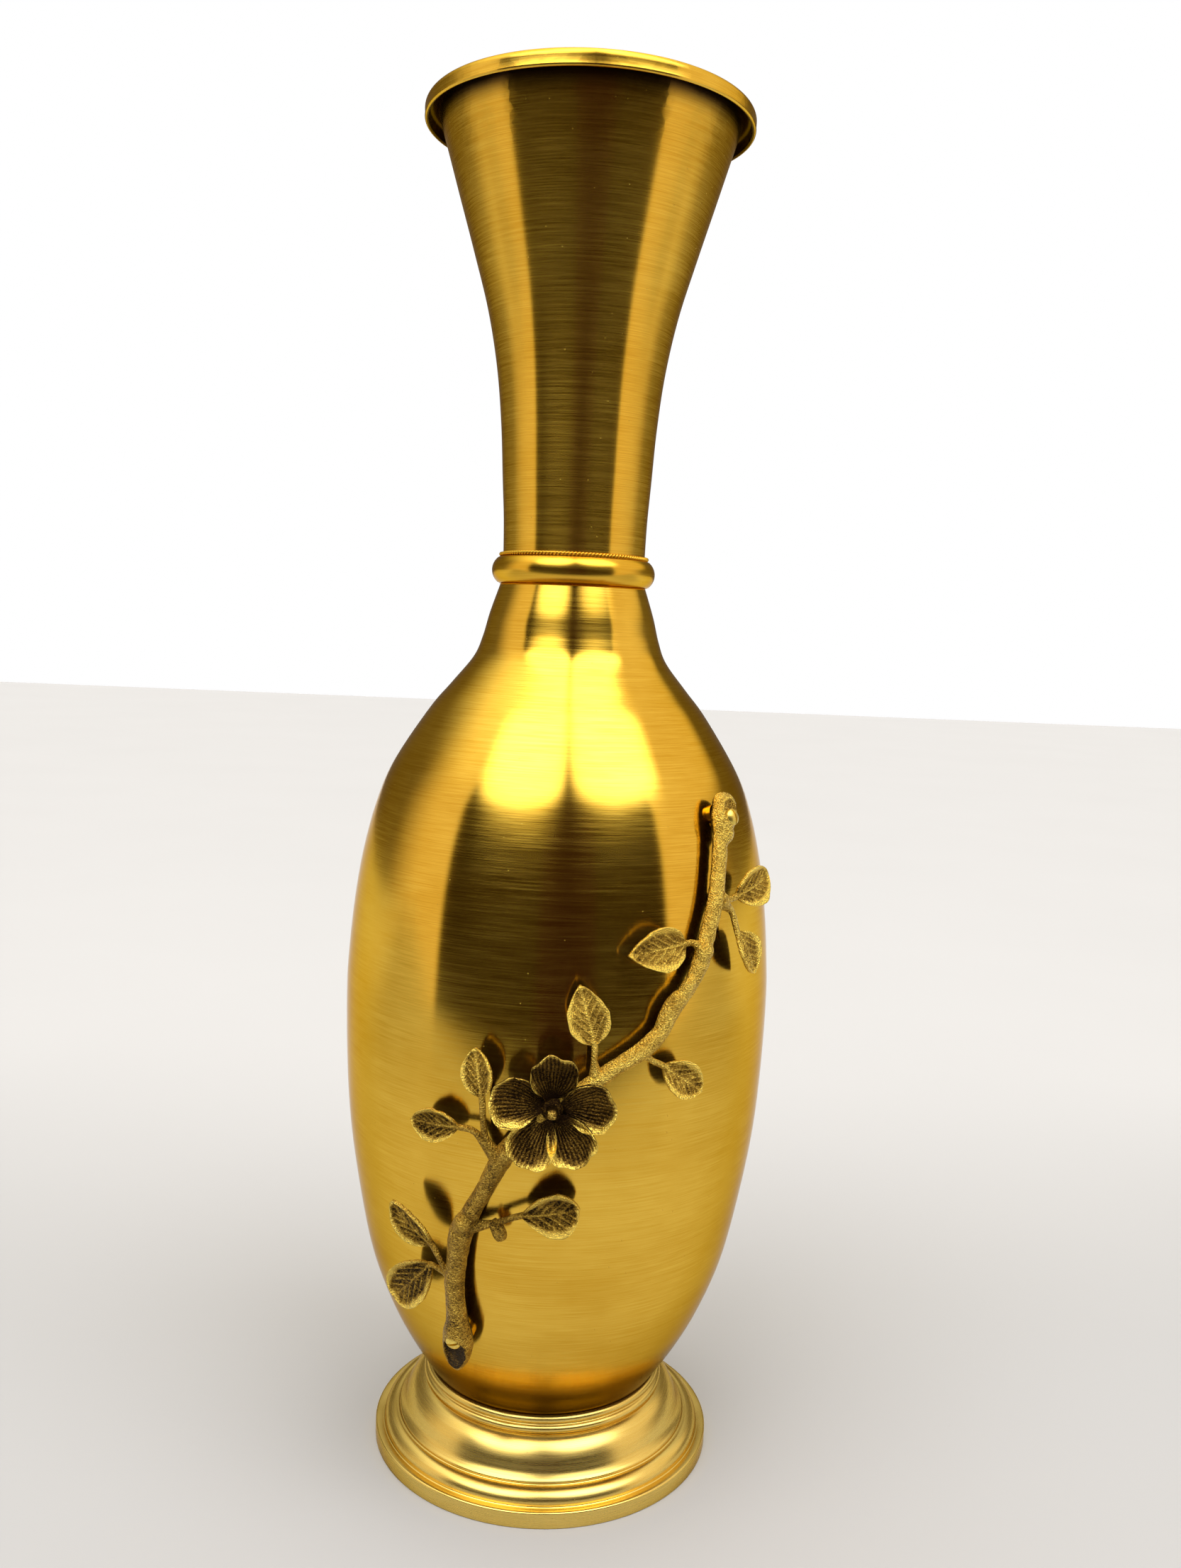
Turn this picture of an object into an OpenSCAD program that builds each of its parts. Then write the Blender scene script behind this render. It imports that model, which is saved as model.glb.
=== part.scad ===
// Tall brass flower vase. A stepped, cast foot carries a spun ovoid body; a turned collar ring
// joins the body to a trumpet neck with a rolled lip; a cast branch with ten leaves and one
// flower follows the front of the body and is held by two slotted screws.
// The origin is the centre of the foot's underside, +Z is up and -Y is the front.

/* [Foot] */
// Diameter of the foot where it stands
foot_d = 159; // [140:1:190]
// Height of the plain band at the bottom of the foot
plinth_h = 7.4; // [6:0.2:9]
// Radius of the large quarter-round bead above the band
foot_bead_r = 5.6; // [4.5:0.1:6.5]
// Height of the S-curved part of the foot
ogee_h = 15.8; // [12:0.2:22]
// Radius of the two small beads that the body sits on
seat_bead_r = 1.95; // [1.6:0.05:2.4]
// Thickness of the cast foot
foot_wall = 3.2; // [2.5:0.1:4]
// Thickness of the web across the top of the foot
web_t = 4; // [3:0.1:6]
// Thickness of the felt pad let into the underside
pad_t = 2; // [1:0.1:3]

/* [Body] */
// Largest diameter of the body
body_d = 194.8; // [162:0.2:234]
// Height of the body between the foot and the collar ring
body_h = 368.3; // [306:0.1:442]
// Height of the widest point above the bottom of the body
belly_h = 183; // [170:1:200]
// Diameter of the body's flat bottom
seat_d = 108; // [90:1:120]
// Diameter of the body's open top
throat_d = 65.6; // [54:0.2:79]
// Thickness of the spun sheet
sheet_t = 1.3; // [1:0.1:1.8]

/* [Collar] */
// Height of the collar ring
collar_h = 12; // [9:0.2:14]
// How far the collar ring stands out from the body's open top
collar_proud = 4.1; // [3:0.1:6]
// Diameter of the trim wire above the collar ring
trim_d = 1.8; // [1.2:0.1:2.4]

/* [Neck] */
// Height of the neck above the collar ring
neck_h = 192.8; // [161:0.2:231]
// How far the neck steps out above the collar ring, over the spigot below it
neck_step = 0.6; // [0.4:0.1:1]
// Outer diameter of the rolled lip
lip_d = 143.6; // [130:0.2:172]
// Outer radius of the roll
roll_r = 3.5; // [3:0.1:4.5]
// Length of the straight skirt below the roll
skirt_h = 3.2; // [2:0.1:5]
// Depth of the spigot inside the body
spigot_l = 22; // [15:1:30]

/* [Branch] */
// Radius of the branch's stem in its thin stretches
stem_r = 3.4; // [2.8:0.1:4.1]
// Height of the posts that the branch rests on
post_h = 2; // [1.6:0.1:3]
// Diameter of the posts
post_d = 8; // [7:0.1:9]
// Thickness of a leaf
leaf_t = 1.5; // [1.2:0.1:2.2]
// Radius of the flower
flower_r = 25; // [20:0.5:27]
// Thickness of the flower's petals
petal_t = 1.8; // [1.4:0.1:2.5]

/* [Fasteners] */
// Diameter of the two branch screws
screw_d = 4; // [3:0.1:5]
// Diameter of their slotted heads
screw_head_d = 7; // [6:0.1:8]
// Height of their slotted heads
screw_head_h = 2.6; // [2:0.1:3]
// Diameter of the bolt that holds the body to the foot
bolt_d = 8; // [6:1:10]
// Radial clearance of every screw, bolt, spigot and pad
fit_gap = 0.1; // [0.05:0.05:0.2]

/* [Hidden] */
$fn = 96;

SPUN_BRASS = [0.80, 0.62, 0.24];
CAST_BRASS = [0.72, 0.55, 0.22];
OLD_BRASS = [0.45, 0.34, 0.16];
STEEL = [0.62, 0.62, 0.60];

// Ledge between the edge of the band and the bead above it, and rounding of that edge
ledge_w = 4.2;
edge_r = 0.8;
// Depth of the grooves between the steps of the foot
groove = 0.4;
// Flat between the large bead and the S-curve
bead_flat = 1.4;
// How far the top of the S-curve and the lower seat bead stand out from the body's bottom
ogee_step = 2.4;
seat_step = 3;
// Rounded hem at the end of the lip's skirt
hem_r = 0.9;
// Washers and the bolt's ends beyond them
seal_t = 2;
washer_t = 1.6;
bolt_end = 2;
// Posts: radius of the shank through the wall, and how far it reaches inside
post_shank_r = 3;
post_reach = 4;
// Slotted screws: how far they reach inside, their slots, and the room around their heads
screw_reach = 3;
slot_w = 1;
slot_share = 0.45;
head_room = 0.4;
// Length of everything that only cuts
cut_l = 20;
// Stalks of the leaves, their share of that radius inside the blade, and the blade's cupping
twig_r = 1.7;
twig_taper = 0.7;
leaf_cup = 0.22;
// Flower: height, centre hub and the pin through it
flower_h = 9;
hub_share = 0.24;
hub_h = 3;
pin_r = 2.2;
pin_start = 3;
pin_top = 7.5;

// Places on the body are [angle from the front towards +X, share of the body's height,
// distance out from the surface]. The screws give where their heads sit, and the flower
// where its back is.
UPPER = [48, 0.743, 9.4];
LOWER = [-24.5, 0.135, 10.4];
FLOWER = [-0.1, 0.434, 7.4];

// Route of the stem from its upper end to its lower end: [angle, share of the body's height, gap
// between the stem's back and the body, radius as a share of stem_r]. The back is flattened.
STEM_BACK = 0.85;
STEM = [
    [50.4, 0.764, 2.5, 1], [49.5, 0.758, 1.3, 1.47], [48, 0.743, 0.7, 1.71],
    [46.5, 0.727, 1.2, 1.41], [45, 0.712, 1.9, 1.03], [43.5, 0.691, 2, 0.97], [42.3, 0.672, 1.9, 1],
    [41, 0.652, 1.7, 1.06], [38.8, 0.628, 1.9, 1], [37.2, 0.61, 1.8, 1.06], [36, 0.594, 1.4, 1.24],
    [34.2, 0.577, 2, 1.03], [31.5, 0.559, 2.2, 0.97], [28.6, 0.547, 1.7, 1.15],
    [26.3, 0.533, 1.7, 1.15], [24.6, 0.516, 2.1, 1], [21.6, 0.501, 1.8, 1.09],
    [18.5, 0.491, 1.9, 1.06], [14.5, 0.48, 2.2, 0.97], [10.2, 0.466, 1.9, 1.06],
    [5.5, 0.45, 2.1, 1], [-0.1, 0.434, 1.9, 1.06], [-6.5, 0.402, 1.9, 1.06],
    [-10.6, 0.376, 1.1, 1.35], [-13.2, 0.352, 1.6, 1.18], [-15.8, 0.327, 1.8, 1.09],
    [-18.6, 0.303, 1.6, 1.18], [-21, 0.281, 0.6, 1.53], [-22.4, 0.258, 1, 1.41],
    [-23.2, 0.235, 1.6, 1.26], [-24.1, 0.209, 1.9, 1.26], [-24.2, 0.184, 2.2, 1.24],
    [-24.1, 0.162, 2.1, 1.38], [-24.4, 0.146, 1.3, 1.76], [-24.8, 0.126, 1.2, 1.94],
    [-25.8, 0.104, 3, 1.47], [-26.8, 0.086, 6.2, 0.41]
];

// Leaves from the top of the branch to the bottom: [route of the stalk, tip, width of the
// blade, roll about its length, how far it bows out]
LEAVES = [
    [[[42.5, 0.655, 5], [45.8, 0.651, 5.2], [48.8, 0.653, 5.5]], [60.5, 0.672, 10], 17, 0, 1.5],
    [[[42.8, 0.65, 4.8], [46.5, 0.637, 5.2], [48.0, 0.613, 5.8]], [54, 0.562, 6.5], 14, 0, 1.5],
    [[[36.3, 0.6, 5], [33.2, 0.609, 5.4], [30.6, 0.61, 6]], [15.6, 0.602, 8.5], 18, 0, 1],
    [[[9.6, 0.467, 5], [8.8, 0.486, 6], [8.7, 0.505, 6.5]], [4.9, 0.571, 8], 17, 0, 1],
    [[[19.5, 0.495, 5], [22, 0.485, 5.6], [25.1, 0.477, 6]], [35, 0.443, 8], 15, 0, 1],
    [[[-11.6, 0.372, 5], [-15.0, 0.395, 6], [-15.8, 0.44, 7]], [-17.3, 0.496, 8], 13, 0, 1],
    [[[-12.2, 0.37, 5], [-17.3, 0.398, 6], [-21.5, 0.401, 6]], [-33.5, 0.4, 7.5], 14, 0, 1],
    [[[-20.4, 0.281, 5], [-13, 0.293, 5.6], [-6.5, 0.306, 6]], [7.1, 0.318, 8], 20, 0, 1],
    [[[-23.6, 0.217, 5.4], [-26.5, 0.226, 6.4], [-28.9, 0.253, 8]], [-39, 0.297, 11], 15, 0, 1],
    [[[-23.6, 0.213, 5.4], [-27.5, 0.22, 5.8], [-30.9, 0.223, 6]], [-43, 0.167, 10], 19, 0, 1]
];
BUD = [[-13.5, 0.295, 5.2, 2], [-12.2, 0.288, 5.6, 2.8], [-11.4, 0.28, 5.8, 2.9],
    [-11.1, 0.275, 5.9, 2.2]];

// ---- curves ----

// A point of the smooth curve through the list p, at t of the way from p[i] to p[i + 1]
function curve_point(p, i, t) =
    let (a = p[max(i - 1, 0)], b = p[i], c = p[i + 1], d = p[min(i + 2, len(p) - 1)])
    0.5 * (2 * b + (c - a) * t + (2 * a - 5 * b + 4 * c - d) * t * t
        + (3 * b - a - 3 * c + d) * t * t * t);
// The smooth curve through the list p, with a number of steps between neighbours
function curve(p, steps) = [
    for (i = [0:len(p) - 2])
        for (k = [0:steps - 1])
            curve_point(p, i, k / steps),
    p[len(p) - 1]
];
function arc(centre, r, from, to, steps) = [
    for (k = [0:steps])
        let (a = from + (to - from) * k / steps)
        centre + r * [cos(a), sin(a)]
];
function flip(p) = [for (i = [len(p) - 1:-1:0]) p[i]];
function unit(v) = v / norm(v);
// Shares of the way between two corners, turned into points
function between(low, high, shares) = [
    for (s = shares) [low.x + (high.x - low.x) * s.x, low.y + (high.y - low.y) * s.y]
];
// The list p moved sideways by t, to the left of its direction
function shifted(p, t) = [
    for (i = [0:len(p) - 1])
        let (d = unit(p[min(i + 1, len(p) - 1)] - p[max(i - 1, 0)]))
        p[i] + t * [-d.y, d.x]
];

// ---- heights and radii ----

foot_r = foot_d / 2;
seat_r = seat_d / 2;
bead_z = plinth_h + groove;
ogee_z = bead_z + foot_bead_r;
seat_z = ogee_z + ogee_h + 4 * seat_bead_r;
belly_r = body_d / 2;
belly_z = seat_z + belly_h;
throat_r = throat_d / 2;
body_top_z = seat_z + body_h;
collar_top_z = body_top_z + collar_h;
top_z = collar_top_z + neck_h;
spigot_r = throat_r - sheet_t - fit_gap;
neck_r = spigot_r + neck_step;
lip_r = lip_d / 2;
roll_c = [lip_r - roll_r, top_z - roll_r];

// Outline of the body's outside, as shares of the way from its bottom to its widest point
BODY_LOW = [[0, 0], [0.263, 0.098], [0.477, 0.198], [0.682, 0.3315], [0.829, 0.4975],
    [0.935, 0.665], [0.984, 0.83], [1, 1]];
// and from its widest point to its open top
BODY_HIGH = [[1, 0], [0.988, 0.1], [0.957, 0.22], [0.905, 0.34], [0.82, 0.46], [0.705, 0.56],
    [0.469, 0.69], [0.319, 0.755], [0.172, 0.82], [0.113, 0.87], [0.067, 0.93], [0, 1]];
body_knots = concat(
    between([seat_r, seat_z], [belly_r, belly_z], BODY_LOW),
    [for (s = BODY_HIGH) if (s.y > 0)
        [throat_r + (belly_r - throat_r) * s.x, belly_z + (body_top_z - belly_z) * s.y]]);
body_outline = curve(body_knots, 3);
body_heights = [for (p = body_outline) [p.y, p.x]];

// Outline of the neck's outside, as shares of the way from the collar ring to the roll
NECK = [[0, 0], [0.012, 0.09], [0.042, 0.181], [0.085, 0.31], [0.162, 0.438], [0.298, 0.567],
    [0.498, 0.696], [0.711, 0.825], [0.87, 0.922], [1, 1]];
neck_outline = curve(
    between([neck_r, collar_top_z], [roll_c.x - roll_r + sheet_t, roll_c.y], NECK), 3);

// Radius of the body's outside at height z, and how fast it grows there
function body_r(z) = lookup(z, body_heights);
function body_slope(z) = (body_r(z + 2) - body_r(z - 2)) / 4;
// A place on the front of the body: angle from the front towards +X, share of the body's
// height, and distance out from the surface
function on_body(p) =
    let (z = seat_z + p[1] * body_h, s = body_slope(z), r = body_r(z) + p[2] * sqrt(1 + s * s))
    [r * sin(p[0]), -r * cos(p[0]), z];
function out_of_body(p) =
    let (s = body_slope(seat_z + p[1] * body_h))
    unit([sin(p[0]), -cos(p[0]), -s]);

// ---- swept and gridded solids ----

// Points of a tube along the points p with radii r; n are the directions that face out,
// and the back of the tube is flattened to a share of its radius
function tube_points(p, r, n, sides, back) = [
    for (i = [0:len(p) - 1])
        let (t = unit(p[min(i + 1, len(p) - 1)] - p[max(i - 1, 0)]), s = unit(cross(t, n[i])),
            up = cross(s, t))
        for (k = [0:sides - 1])
            let (a = 360 * (k + 0.5) / sides)
            p[i] + r[i] * (cos(a) * s + sin(a) * (sin(a) < 0 ? back : 1) * up)
];
module tube(p, r, n, sides = 10, back = 1) {
    rings = len(p);
    polyhedron(
        points = tube_points(p, r, n, sides, back),
        faces = concat(
            [for (i = [0:rings - 2]) for (k = [0:sides - 1]) let (m = (k + 1) % sides)
                [i * sides + k, (i + 1) * sides + m, (i + 1) * sides + k]],
            [for (i = [0:rings - 2]) for (k = [0:sides - 1]) let (m = (k + 1) % sides)
                [i * sides + k, i * sides + m, (i + 1) * sides + m]],
            [for (k = [1:sides - 2]) [0, k + 1, k]],
            [for (k = [1:sides - 2]) let (b = (rings - 1) * sides) [b, b + k, b + k + 1]]));
}

// A closed plate between two grids of points with the same rows and columns
module plate(top, bottom, rows, cols) {
    half = rows * cols;
    quads = [for (i = [0:rows - 2]) for (k = [0:cols - 2]) i * cols + k];
    rim = concat(
        [for (k = [0:cols - 2]) [k, k + 1]],
        [for (i = [0:rows - 2]) [(i + 1) * cols - 1, (i + 2) * cols - 1]],
        [for (k = [cols - 1:-1:1]) [(rows - 1) * cols + k, (rows - 1) * cols + k - 1]],
        [for (i = [rows - 1:-1:1]) [i * cols, (i - 1) * cols]]);
    polyhedron(
        points = concat(top, bottom),
        faces = concat(
            [for (q = quads) [q, q + cols, q + cols + 1]],
            [for (q = quads) [q, q + cols + 1, q + 1]],
            [for (q = quads) [half + q, half + q + cols + 1, half + q + cols]],
            [for (q = quads) [half + q, half + q + 1, half + q + cols + 1]],
            [for (e = rim) [e[0], e[1], half + e[1]]],
            [for (e = rim) [e[0], half + e[1], half + e[0]]]));
}

// ---- foot ----

ogee_top = [seat_r + ogee_step, ogee_z + ogee_h];
bead_c = [foot_r - ledge_w - foot_bead_r, bead_z];
ogee_foot = [bead_c.x - bead_flat, ogee_z];
// Outline of the S-curve, as shares of the way from its top edge to its foot
OGEE = [[1, 0], [0.99, 0.06], [0.91, 0.125], [0.8, 0.24], [0.715, 0.39], [0.605, 0.575],
    [0.43, 0.77], [0.21, 0.92], [0, 1]];
ogee = curve([for (s = OGEE)
    [ogee_top.x + (ogee_foot.x - ogee_top.x) * s.x, ogee_foot.y + ogee_h * s.y]], 3);
seat_bead_1 = [seat_r + seat_step - seat_bead_r, ogee_top.y + seat_bead_r];
seat_bead_2 = [seat_r, seat_z - seat_bead_r];
bolt_hole_r = bolt_d / 2 + fit_gap;

module base_foot() {
    outside = concat(
        [[foot_r, 0]],
        arc([foot_r - edge_r, plinth_h - edge_r], edge_r, 0, 90, 4),
        [[bead_c.x + foot_bead_r, plinth_h - groove]],
        arc(bead_c, foot_bead_r, 0, 90, 12),
        [ogee_foot + [groove, -groove]],
        ogee,
        arc(seat_bead_1, seat_bead_r, -75, 75, 8),
        arc(seat_bead_2, seat_bead_r, -60, 90, 8));
    web_z = seat_z - web_t;
    inside = concat(
        [[bolt_hole_r, seat_z], [bolt_hole_r, web_z], [seat_r - foot_wall, web_z]],
        [for (p = flip(ogee)) if (p.y < web_z - 1) p - [foot_wall, 0]],
        [[foot_r - foot_wall, plinth_h - foot_wall], [foot_r - foot_wall, 0]]);
    color(CAST_BRASS)
        rotate_extrude()
            polygon(concat(outside, inside));
}

module felt_pad() {
    color([0.18, 0.16, 0.13])
        cylinder(r = foot_r - foot_wall - fit_gap, h = pad_t);
}

// ---- body ----

// Everything inside the body's outer surface
module body_form() {
    rotate_extrude()
        polygon(concat([[0, seat_z]], body_outline, [[0, body_top_z]]));
}

module body_shell() {
    color(SPUN_BRASS)
        difference() {
            rotate_extrude() {
                polygon(concat(body_outline, flip(shifted(body_outline, sheet_t))));
                translate([bolt_hole_r, seat_z])
                    square([seat_r - bolt_hole_r, sheet_t]);
            }
            for (p = [UPPER, LOWER])
                at_screw(p)
                    translate([0, 0, -cut_l / 2])
                        cylinder(r = post_shank_r + fit_gap, h = cut_l);
        }
}

// ---- bolt between the foot and the body ----

bolt_top_z = seat_z + sheet_t + seal_t;
nut_h = 0.8 * bolt_d;
hex_r = 0.935 * bolt_d;
nut_z = seat_z - web_t - washer_t - nut_h;

module washer(z, r, h) {
    translate([0, 0, z])
        difference() {
            cylinder(r = r, h = h);
            translate([0, 0, -1])
                cylinder(r = bolt_hole_r, h = h + 2);
        }
}

module foot_bolt() {
    color(STEEL) {
        translate([0, 0, bolt_top_z])
            cylinder(r = hex_r, h = 0.65 * bolt_d, $fn = 6);
        translate([0, 0, nut_z - bolt_end])
            cylinder(r = bolt_d / 2, h = bolt_top_z - nut_z + bolt_end + 0.5);
    }
}
module seal_washer() {
    color([0.1, 0.1, 0.1])
        washer(seat_z + sheet_t, 1.5 * bolt_d, seal_t);
}
module foot_washer() {
    color(STEEL)
        washer(seat_z - web_t - washer_t, 1.5 * bolt_d, washer_t);
}
module foot_nut() {
    color(STEEL)
        translate([0, 0, nut_z])
            difference() {
                cylinder(r = hex_r, h = nut_h, $fn = 6);
                translate([0, 0, -1])
                    cylinder(r = bolt_hole_r, h = nut_h + 2);
            }
}

// ---- collar and neck ----

module collar_ring() {
    // The face is an arc that stands out from the ends of the ring by face_h
    face_h = 0.8 * collar_proud;
    face_r = (collar_h * collar_h / 4 + face_h * face_h) / (2 * face_h);
    color(CAST_BRASS)
        rotate_extrude()
            intersection() {
                translate([throat_r + collar_proud - face_r, body_top_z + collar_h / 2])
                    circle(r = face_r);
                translate([spigot_r + fit_gap, body_top_z])
                    square([throat_r, collar_h]);
            }
}

module trim_wire() {
    color(CAST_BRASS)
        rotate_extrude()
            translate([neck_r + trim_d / 2 + fit_gap, collar_top_z + trim_d / 2])
                circle(d = trim_d);
}

module neck_trumpet() {
    hem = [lip_r, roll_c.y - skirt_h];
    spigot_z = body_top_z - spigot_l;
    color(SPUN_BRASS)
        rotate_extrude() {
            polygon(concat(
                [[spigot_r - sheet_t, spigot_z], [spigot_r, spigot_z], [spigot_r, collar_top_z]],
                neck_outline,
                arc(roll_c, roll_r - sheet_t, 165, 0, 10),
                [hem - [sheet_t, 0], hem],
                arc(roll_c, roll_r, 0, 180, 14),
                flip([for (p = shifted(neck_outline, sheet_t)) if (p.y < roll_c.y - 1) p])));
            translate(hem - [0.5, 0])
                circle(r = hem_r);
        }
}

// ---- branch ----

// Moves what is drawn to a place on the body, with +Z out of its surface and +X down
module at_screw(p) {
    z = seat_z + p[1] * body_h;
    translate(on_body([p[0], p[1], 0]))
        rotate([0, 90 + atan(body_slope(z)), p[0] - 90])
            children();
}

module post(p) {
    difference() {
        union() {
            difference() {
                at_screw(p)
                    translate([0, 0, -1])
                        cylinder(d = post_d, h = post_h + 1);
                body_form();
            }
            at_screw(p)
                translate([0, 0, -sheet_t - post_reach])
                    cylinder(r = post_shank_r, h = sheet_t + post_reach + post_h / 2);
        }
        at_screw(p)
            translate([0, 0, -cut_l / 2])
                cylinder(r = screw_d / 2 + fit_gap, h = cut_l);
    }
}
module upper_post() {
    color(CAST_BRASS)
        post(UPPER);
}
module lower_post() {
    color(CAST_BRASS)
        post(LOWER);
}

// A slotted screw whose head sits on the branch at p[2] from the body
module slotted_screw(p, turn) {
    color([0.85, 0.68, 0.28])
        at_screw(p)
            difference() {
                union() {
                    translate([0, 0, p[2]])
                        cylinder(d = screw_head_d, h = screw_head_h);
                    translate([0, 0, -sheet_t - screw_reach])
                        cylinder(d = screw_d, h = p[2] + sheet_t + screw_reach + 0.5);
                }
                rotate(turn)
                    translate([-screw_head_d, -slot_w / 2, p[2] + (1 - slot_share) * screw_head_h])
                        cube([2 * screw_head_d, slot_w, screw_head_h]);
            }
}
module upper_screw() {
    slotted_screw(UPPER, 8);
}
module lower_screw() {
    slotted_screw(LOWER, 72);
}

module stem_tube() {
    radii = [for (s = STEM) s[3] * stem_r];
    route = [for (i = [0:len(STEM) - 1])
        on_body([STEM[i][0], STEM[i][1], STEM[i][2] + STEM_BACK * radii[i]])];
    tube(route, radii, [for (s = STEM) out_of_body(s)], 10, STEM_BACK);
}

module branch_stem() {
    color(CAST_BRASS)
        difference() {
            stem_tube();
            for (p = [UPPER, LOWER])
                at_screw(p) {
                    cylinder(r = screw_d / 2 + fit_gap, h = cut_l);
                    translate([0, 0, post_h - cut_l])
                        cylinder(d = post_d + 1, h = cut_l);
                    translate([0, 0, p[2]])
                        cylinder(r = screw_head_d / 2 + head_room, h = cut_l);
                }
            at_screw(FLOWER)
                cylinder(r = pin_r + fit_gap, h = cut_l);
        }
}

// Half the width of a leaf at u of its length, as a share of its greatest half width
function leaf_outline(u) = max(0.1, pow(sin(180 * pow(u, 0.85)), 0.8));

// One leaf. twig is its stalk's route, which ends where the blade starts, and tip is its end;
// the blade is turned by roll about its length, and bends and cups towards the front.
module leaf_form(l) {
    twig = l[0];
    base = on_body(twig[len(twig) - 1]);
    tip = on_body(l[1]);
    len_dir = unit(tip - base);
    flat = unit(cross(len_dir, out_of_body(l[1])));
    up = cross(flat, len_dir);
    side = flat * cos(l[3]) + up * sin(l[3]);
    face = up * cos(l[3]) - flat * sin(l[3]);
    rows = 9;
    cols = 5;
    mid = [for (i = [0:rows - 1]) for (k = [0:cols - 1])
        let (u = i / (rows - 1), v = 2 * k / (cols - 1) - 1, w = leaf_outline(u) * l[2] / 2)
        base + (tip - base) * u + side * v * w + face * (l[4] * sin(180 * u) + leaf_cup * w * v * v)];
    plate([for (p = mid) p + face * leaf_t / 2], [for (p = mid) p - face * leaf_t / 2], rows, cols);
    n = len(twig);
    path = concat([for (t = twig) on_body(t)], [base + len_dir * 2]);
    tube(path, [for (i = [0:n]) i < n - 1 ? twig_r : twig_taper * twig_r],
        [for (i = [0:n]) out_of_body(twig[min(i, n - 1)])], 8, 1);
}
module leaf_solid(i) {
    leaf_form(LEAVES[i - 1]);
}
// Leaf i, cut to meet the stem and the stalks that it grows beside
module leaf(i, others = []) {
    color(CAST_BRASS)
        difference() {
            leaf_solid(i);
            stem_tube();
            for (k = others)
                leaf_solid(k);
        }
}
module leaf_1() { leaf(1); }
module leaf_2() { leaf(2, [1]); }
module leaf_3() { leaf(3); }
module leaf_4() { leaf(4); }
module leaf_5() { leaf(5); }
module leaf_6() { leaf(6); }
module leaf_7() { leaf(7, [6]); }
module leaf_8() { leaf(8); }
module leaf_9() { leaf(9); }
module leaf_10() { leaf(10, [9]); }

// A cut twig stub below the stalk of leaf 8
module bud() {
    color(OLD_BRASS)
        difference() {
            tube([for (p = BUD) on_body(p)], [for (p = BUD) p[3]],
                [for (p = BUD) out_of_body(p)], 8);
            stem_tube();
            leaf_solid(8);
        }
}

// ---- flower ----

// A ring whose section changes as it goes round; all sections have the same number of points
module ring(sections) {
    rows = len(sections);
    cols = len(sections[0]);
    corners = [for (i = [0:rows - 1]) for (k = [0:cols - 1])
        let (m = (i + 1) % rows, n = (k + 1) % cols)
        [i * cols + k, m * cols + k, m * cols + n, i * cols + n]];
    polyhedron(
        points = [for (s = sections) for (p = s) p],
        faces = concat(
            [for (c = corners) [c[0], c[1], c[2]]],
            [for (c = corners) [c[0], c[2], c[3]]]));
}

// Five cupped petals in one ring: the rim runs out and in, and the petals' sides curl up
module petals() {
    turns = 60;
    steps = 5;
    inner = 0.16 * flower_r;
    sections = [for (i = [0:turns - 1])
        let (a = 360 * i / turns, v = ((a + 18) % 72) / 36 - 1,
            rim = flower_r * (0.76 + 0.24 * sqrt(abs(cos(90 * v)))))
        let (mid = [for (k = [0:steps])
            let (u = k / steps)
            [inner + (rim - inner) * u,
                petal_t / 2 + flower_h * (0.55 * u * u + 0.3 * u * v * v)]])
        concat(
            [for (p = mid) [p.x * cos(a), p.x * sin(a), p.y + petal_t / 2]],
            [for (p = flip(mid)) [p.x * cos(a), p.x * sin(a), p.y - petal_t / 2]])];
    ring(sections);
}

module flower() {
    color(OLD_BRASS)
        difference() {
            at_screw(FLOWER)
                translate([0, 0, FLOWER[2]])
                    difference() {
                        union() {
                            rotate(18)
                                petals();
                            cylinder(r = hub_share * flower_r, h = hub_h);
                        }
                        translate([0, 0, -cut_l / 2])
                            cylinder(r = pin_r + fit_gap, h = cut_l);
                    }
            stem_tube();
        }
}

module flower_pin() {
    color(OLD_BRASS)
        at_screw(FLOWER)
            translate([0, 0, pin_start])
                cylinder(r = pin_r, h = FLOWER[2] + pin_top - pin_start);
}

base_foot();
felt_pad();
body_shell();
foot_bolt();
seal_washer();
foot_washer();
foot_nut();
collar_ring();
trim_wire();
neck_trumpet();
upper_post();
lower_post();
upper_screw();
lower_screw();
branch_stem();
leaf_1();
leaf_2();
leaf_3();
leaf_4();
leaf_5();
leaf_6();
leaf_7();
leaf_8();
leaf_9();
leaf_10();
bud();
flower();
flower_pin();
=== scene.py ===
import math

import bpy
from mathutils import Matrix, Vector, noise


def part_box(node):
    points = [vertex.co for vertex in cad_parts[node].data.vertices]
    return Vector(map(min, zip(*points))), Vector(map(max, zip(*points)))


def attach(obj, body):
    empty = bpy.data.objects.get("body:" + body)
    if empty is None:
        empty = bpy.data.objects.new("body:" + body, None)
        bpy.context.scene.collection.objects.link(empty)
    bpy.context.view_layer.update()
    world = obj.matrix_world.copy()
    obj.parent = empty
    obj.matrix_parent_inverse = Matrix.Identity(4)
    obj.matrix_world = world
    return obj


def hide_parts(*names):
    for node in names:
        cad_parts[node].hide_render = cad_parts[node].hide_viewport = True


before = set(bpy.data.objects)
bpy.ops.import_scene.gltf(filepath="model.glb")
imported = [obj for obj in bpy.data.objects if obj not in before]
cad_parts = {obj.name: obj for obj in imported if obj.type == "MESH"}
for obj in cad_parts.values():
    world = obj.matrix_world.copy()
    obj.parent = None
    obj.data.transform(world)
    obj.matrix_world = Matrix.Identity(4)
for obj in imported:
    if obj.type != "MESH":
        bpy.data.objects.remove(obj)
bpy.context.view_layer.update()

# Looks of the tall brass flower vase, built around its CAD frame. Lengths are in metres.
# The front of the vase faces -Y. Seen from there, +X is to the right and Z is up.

MM = 0.001
UP = Vector((0, 0, 1))
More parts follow.
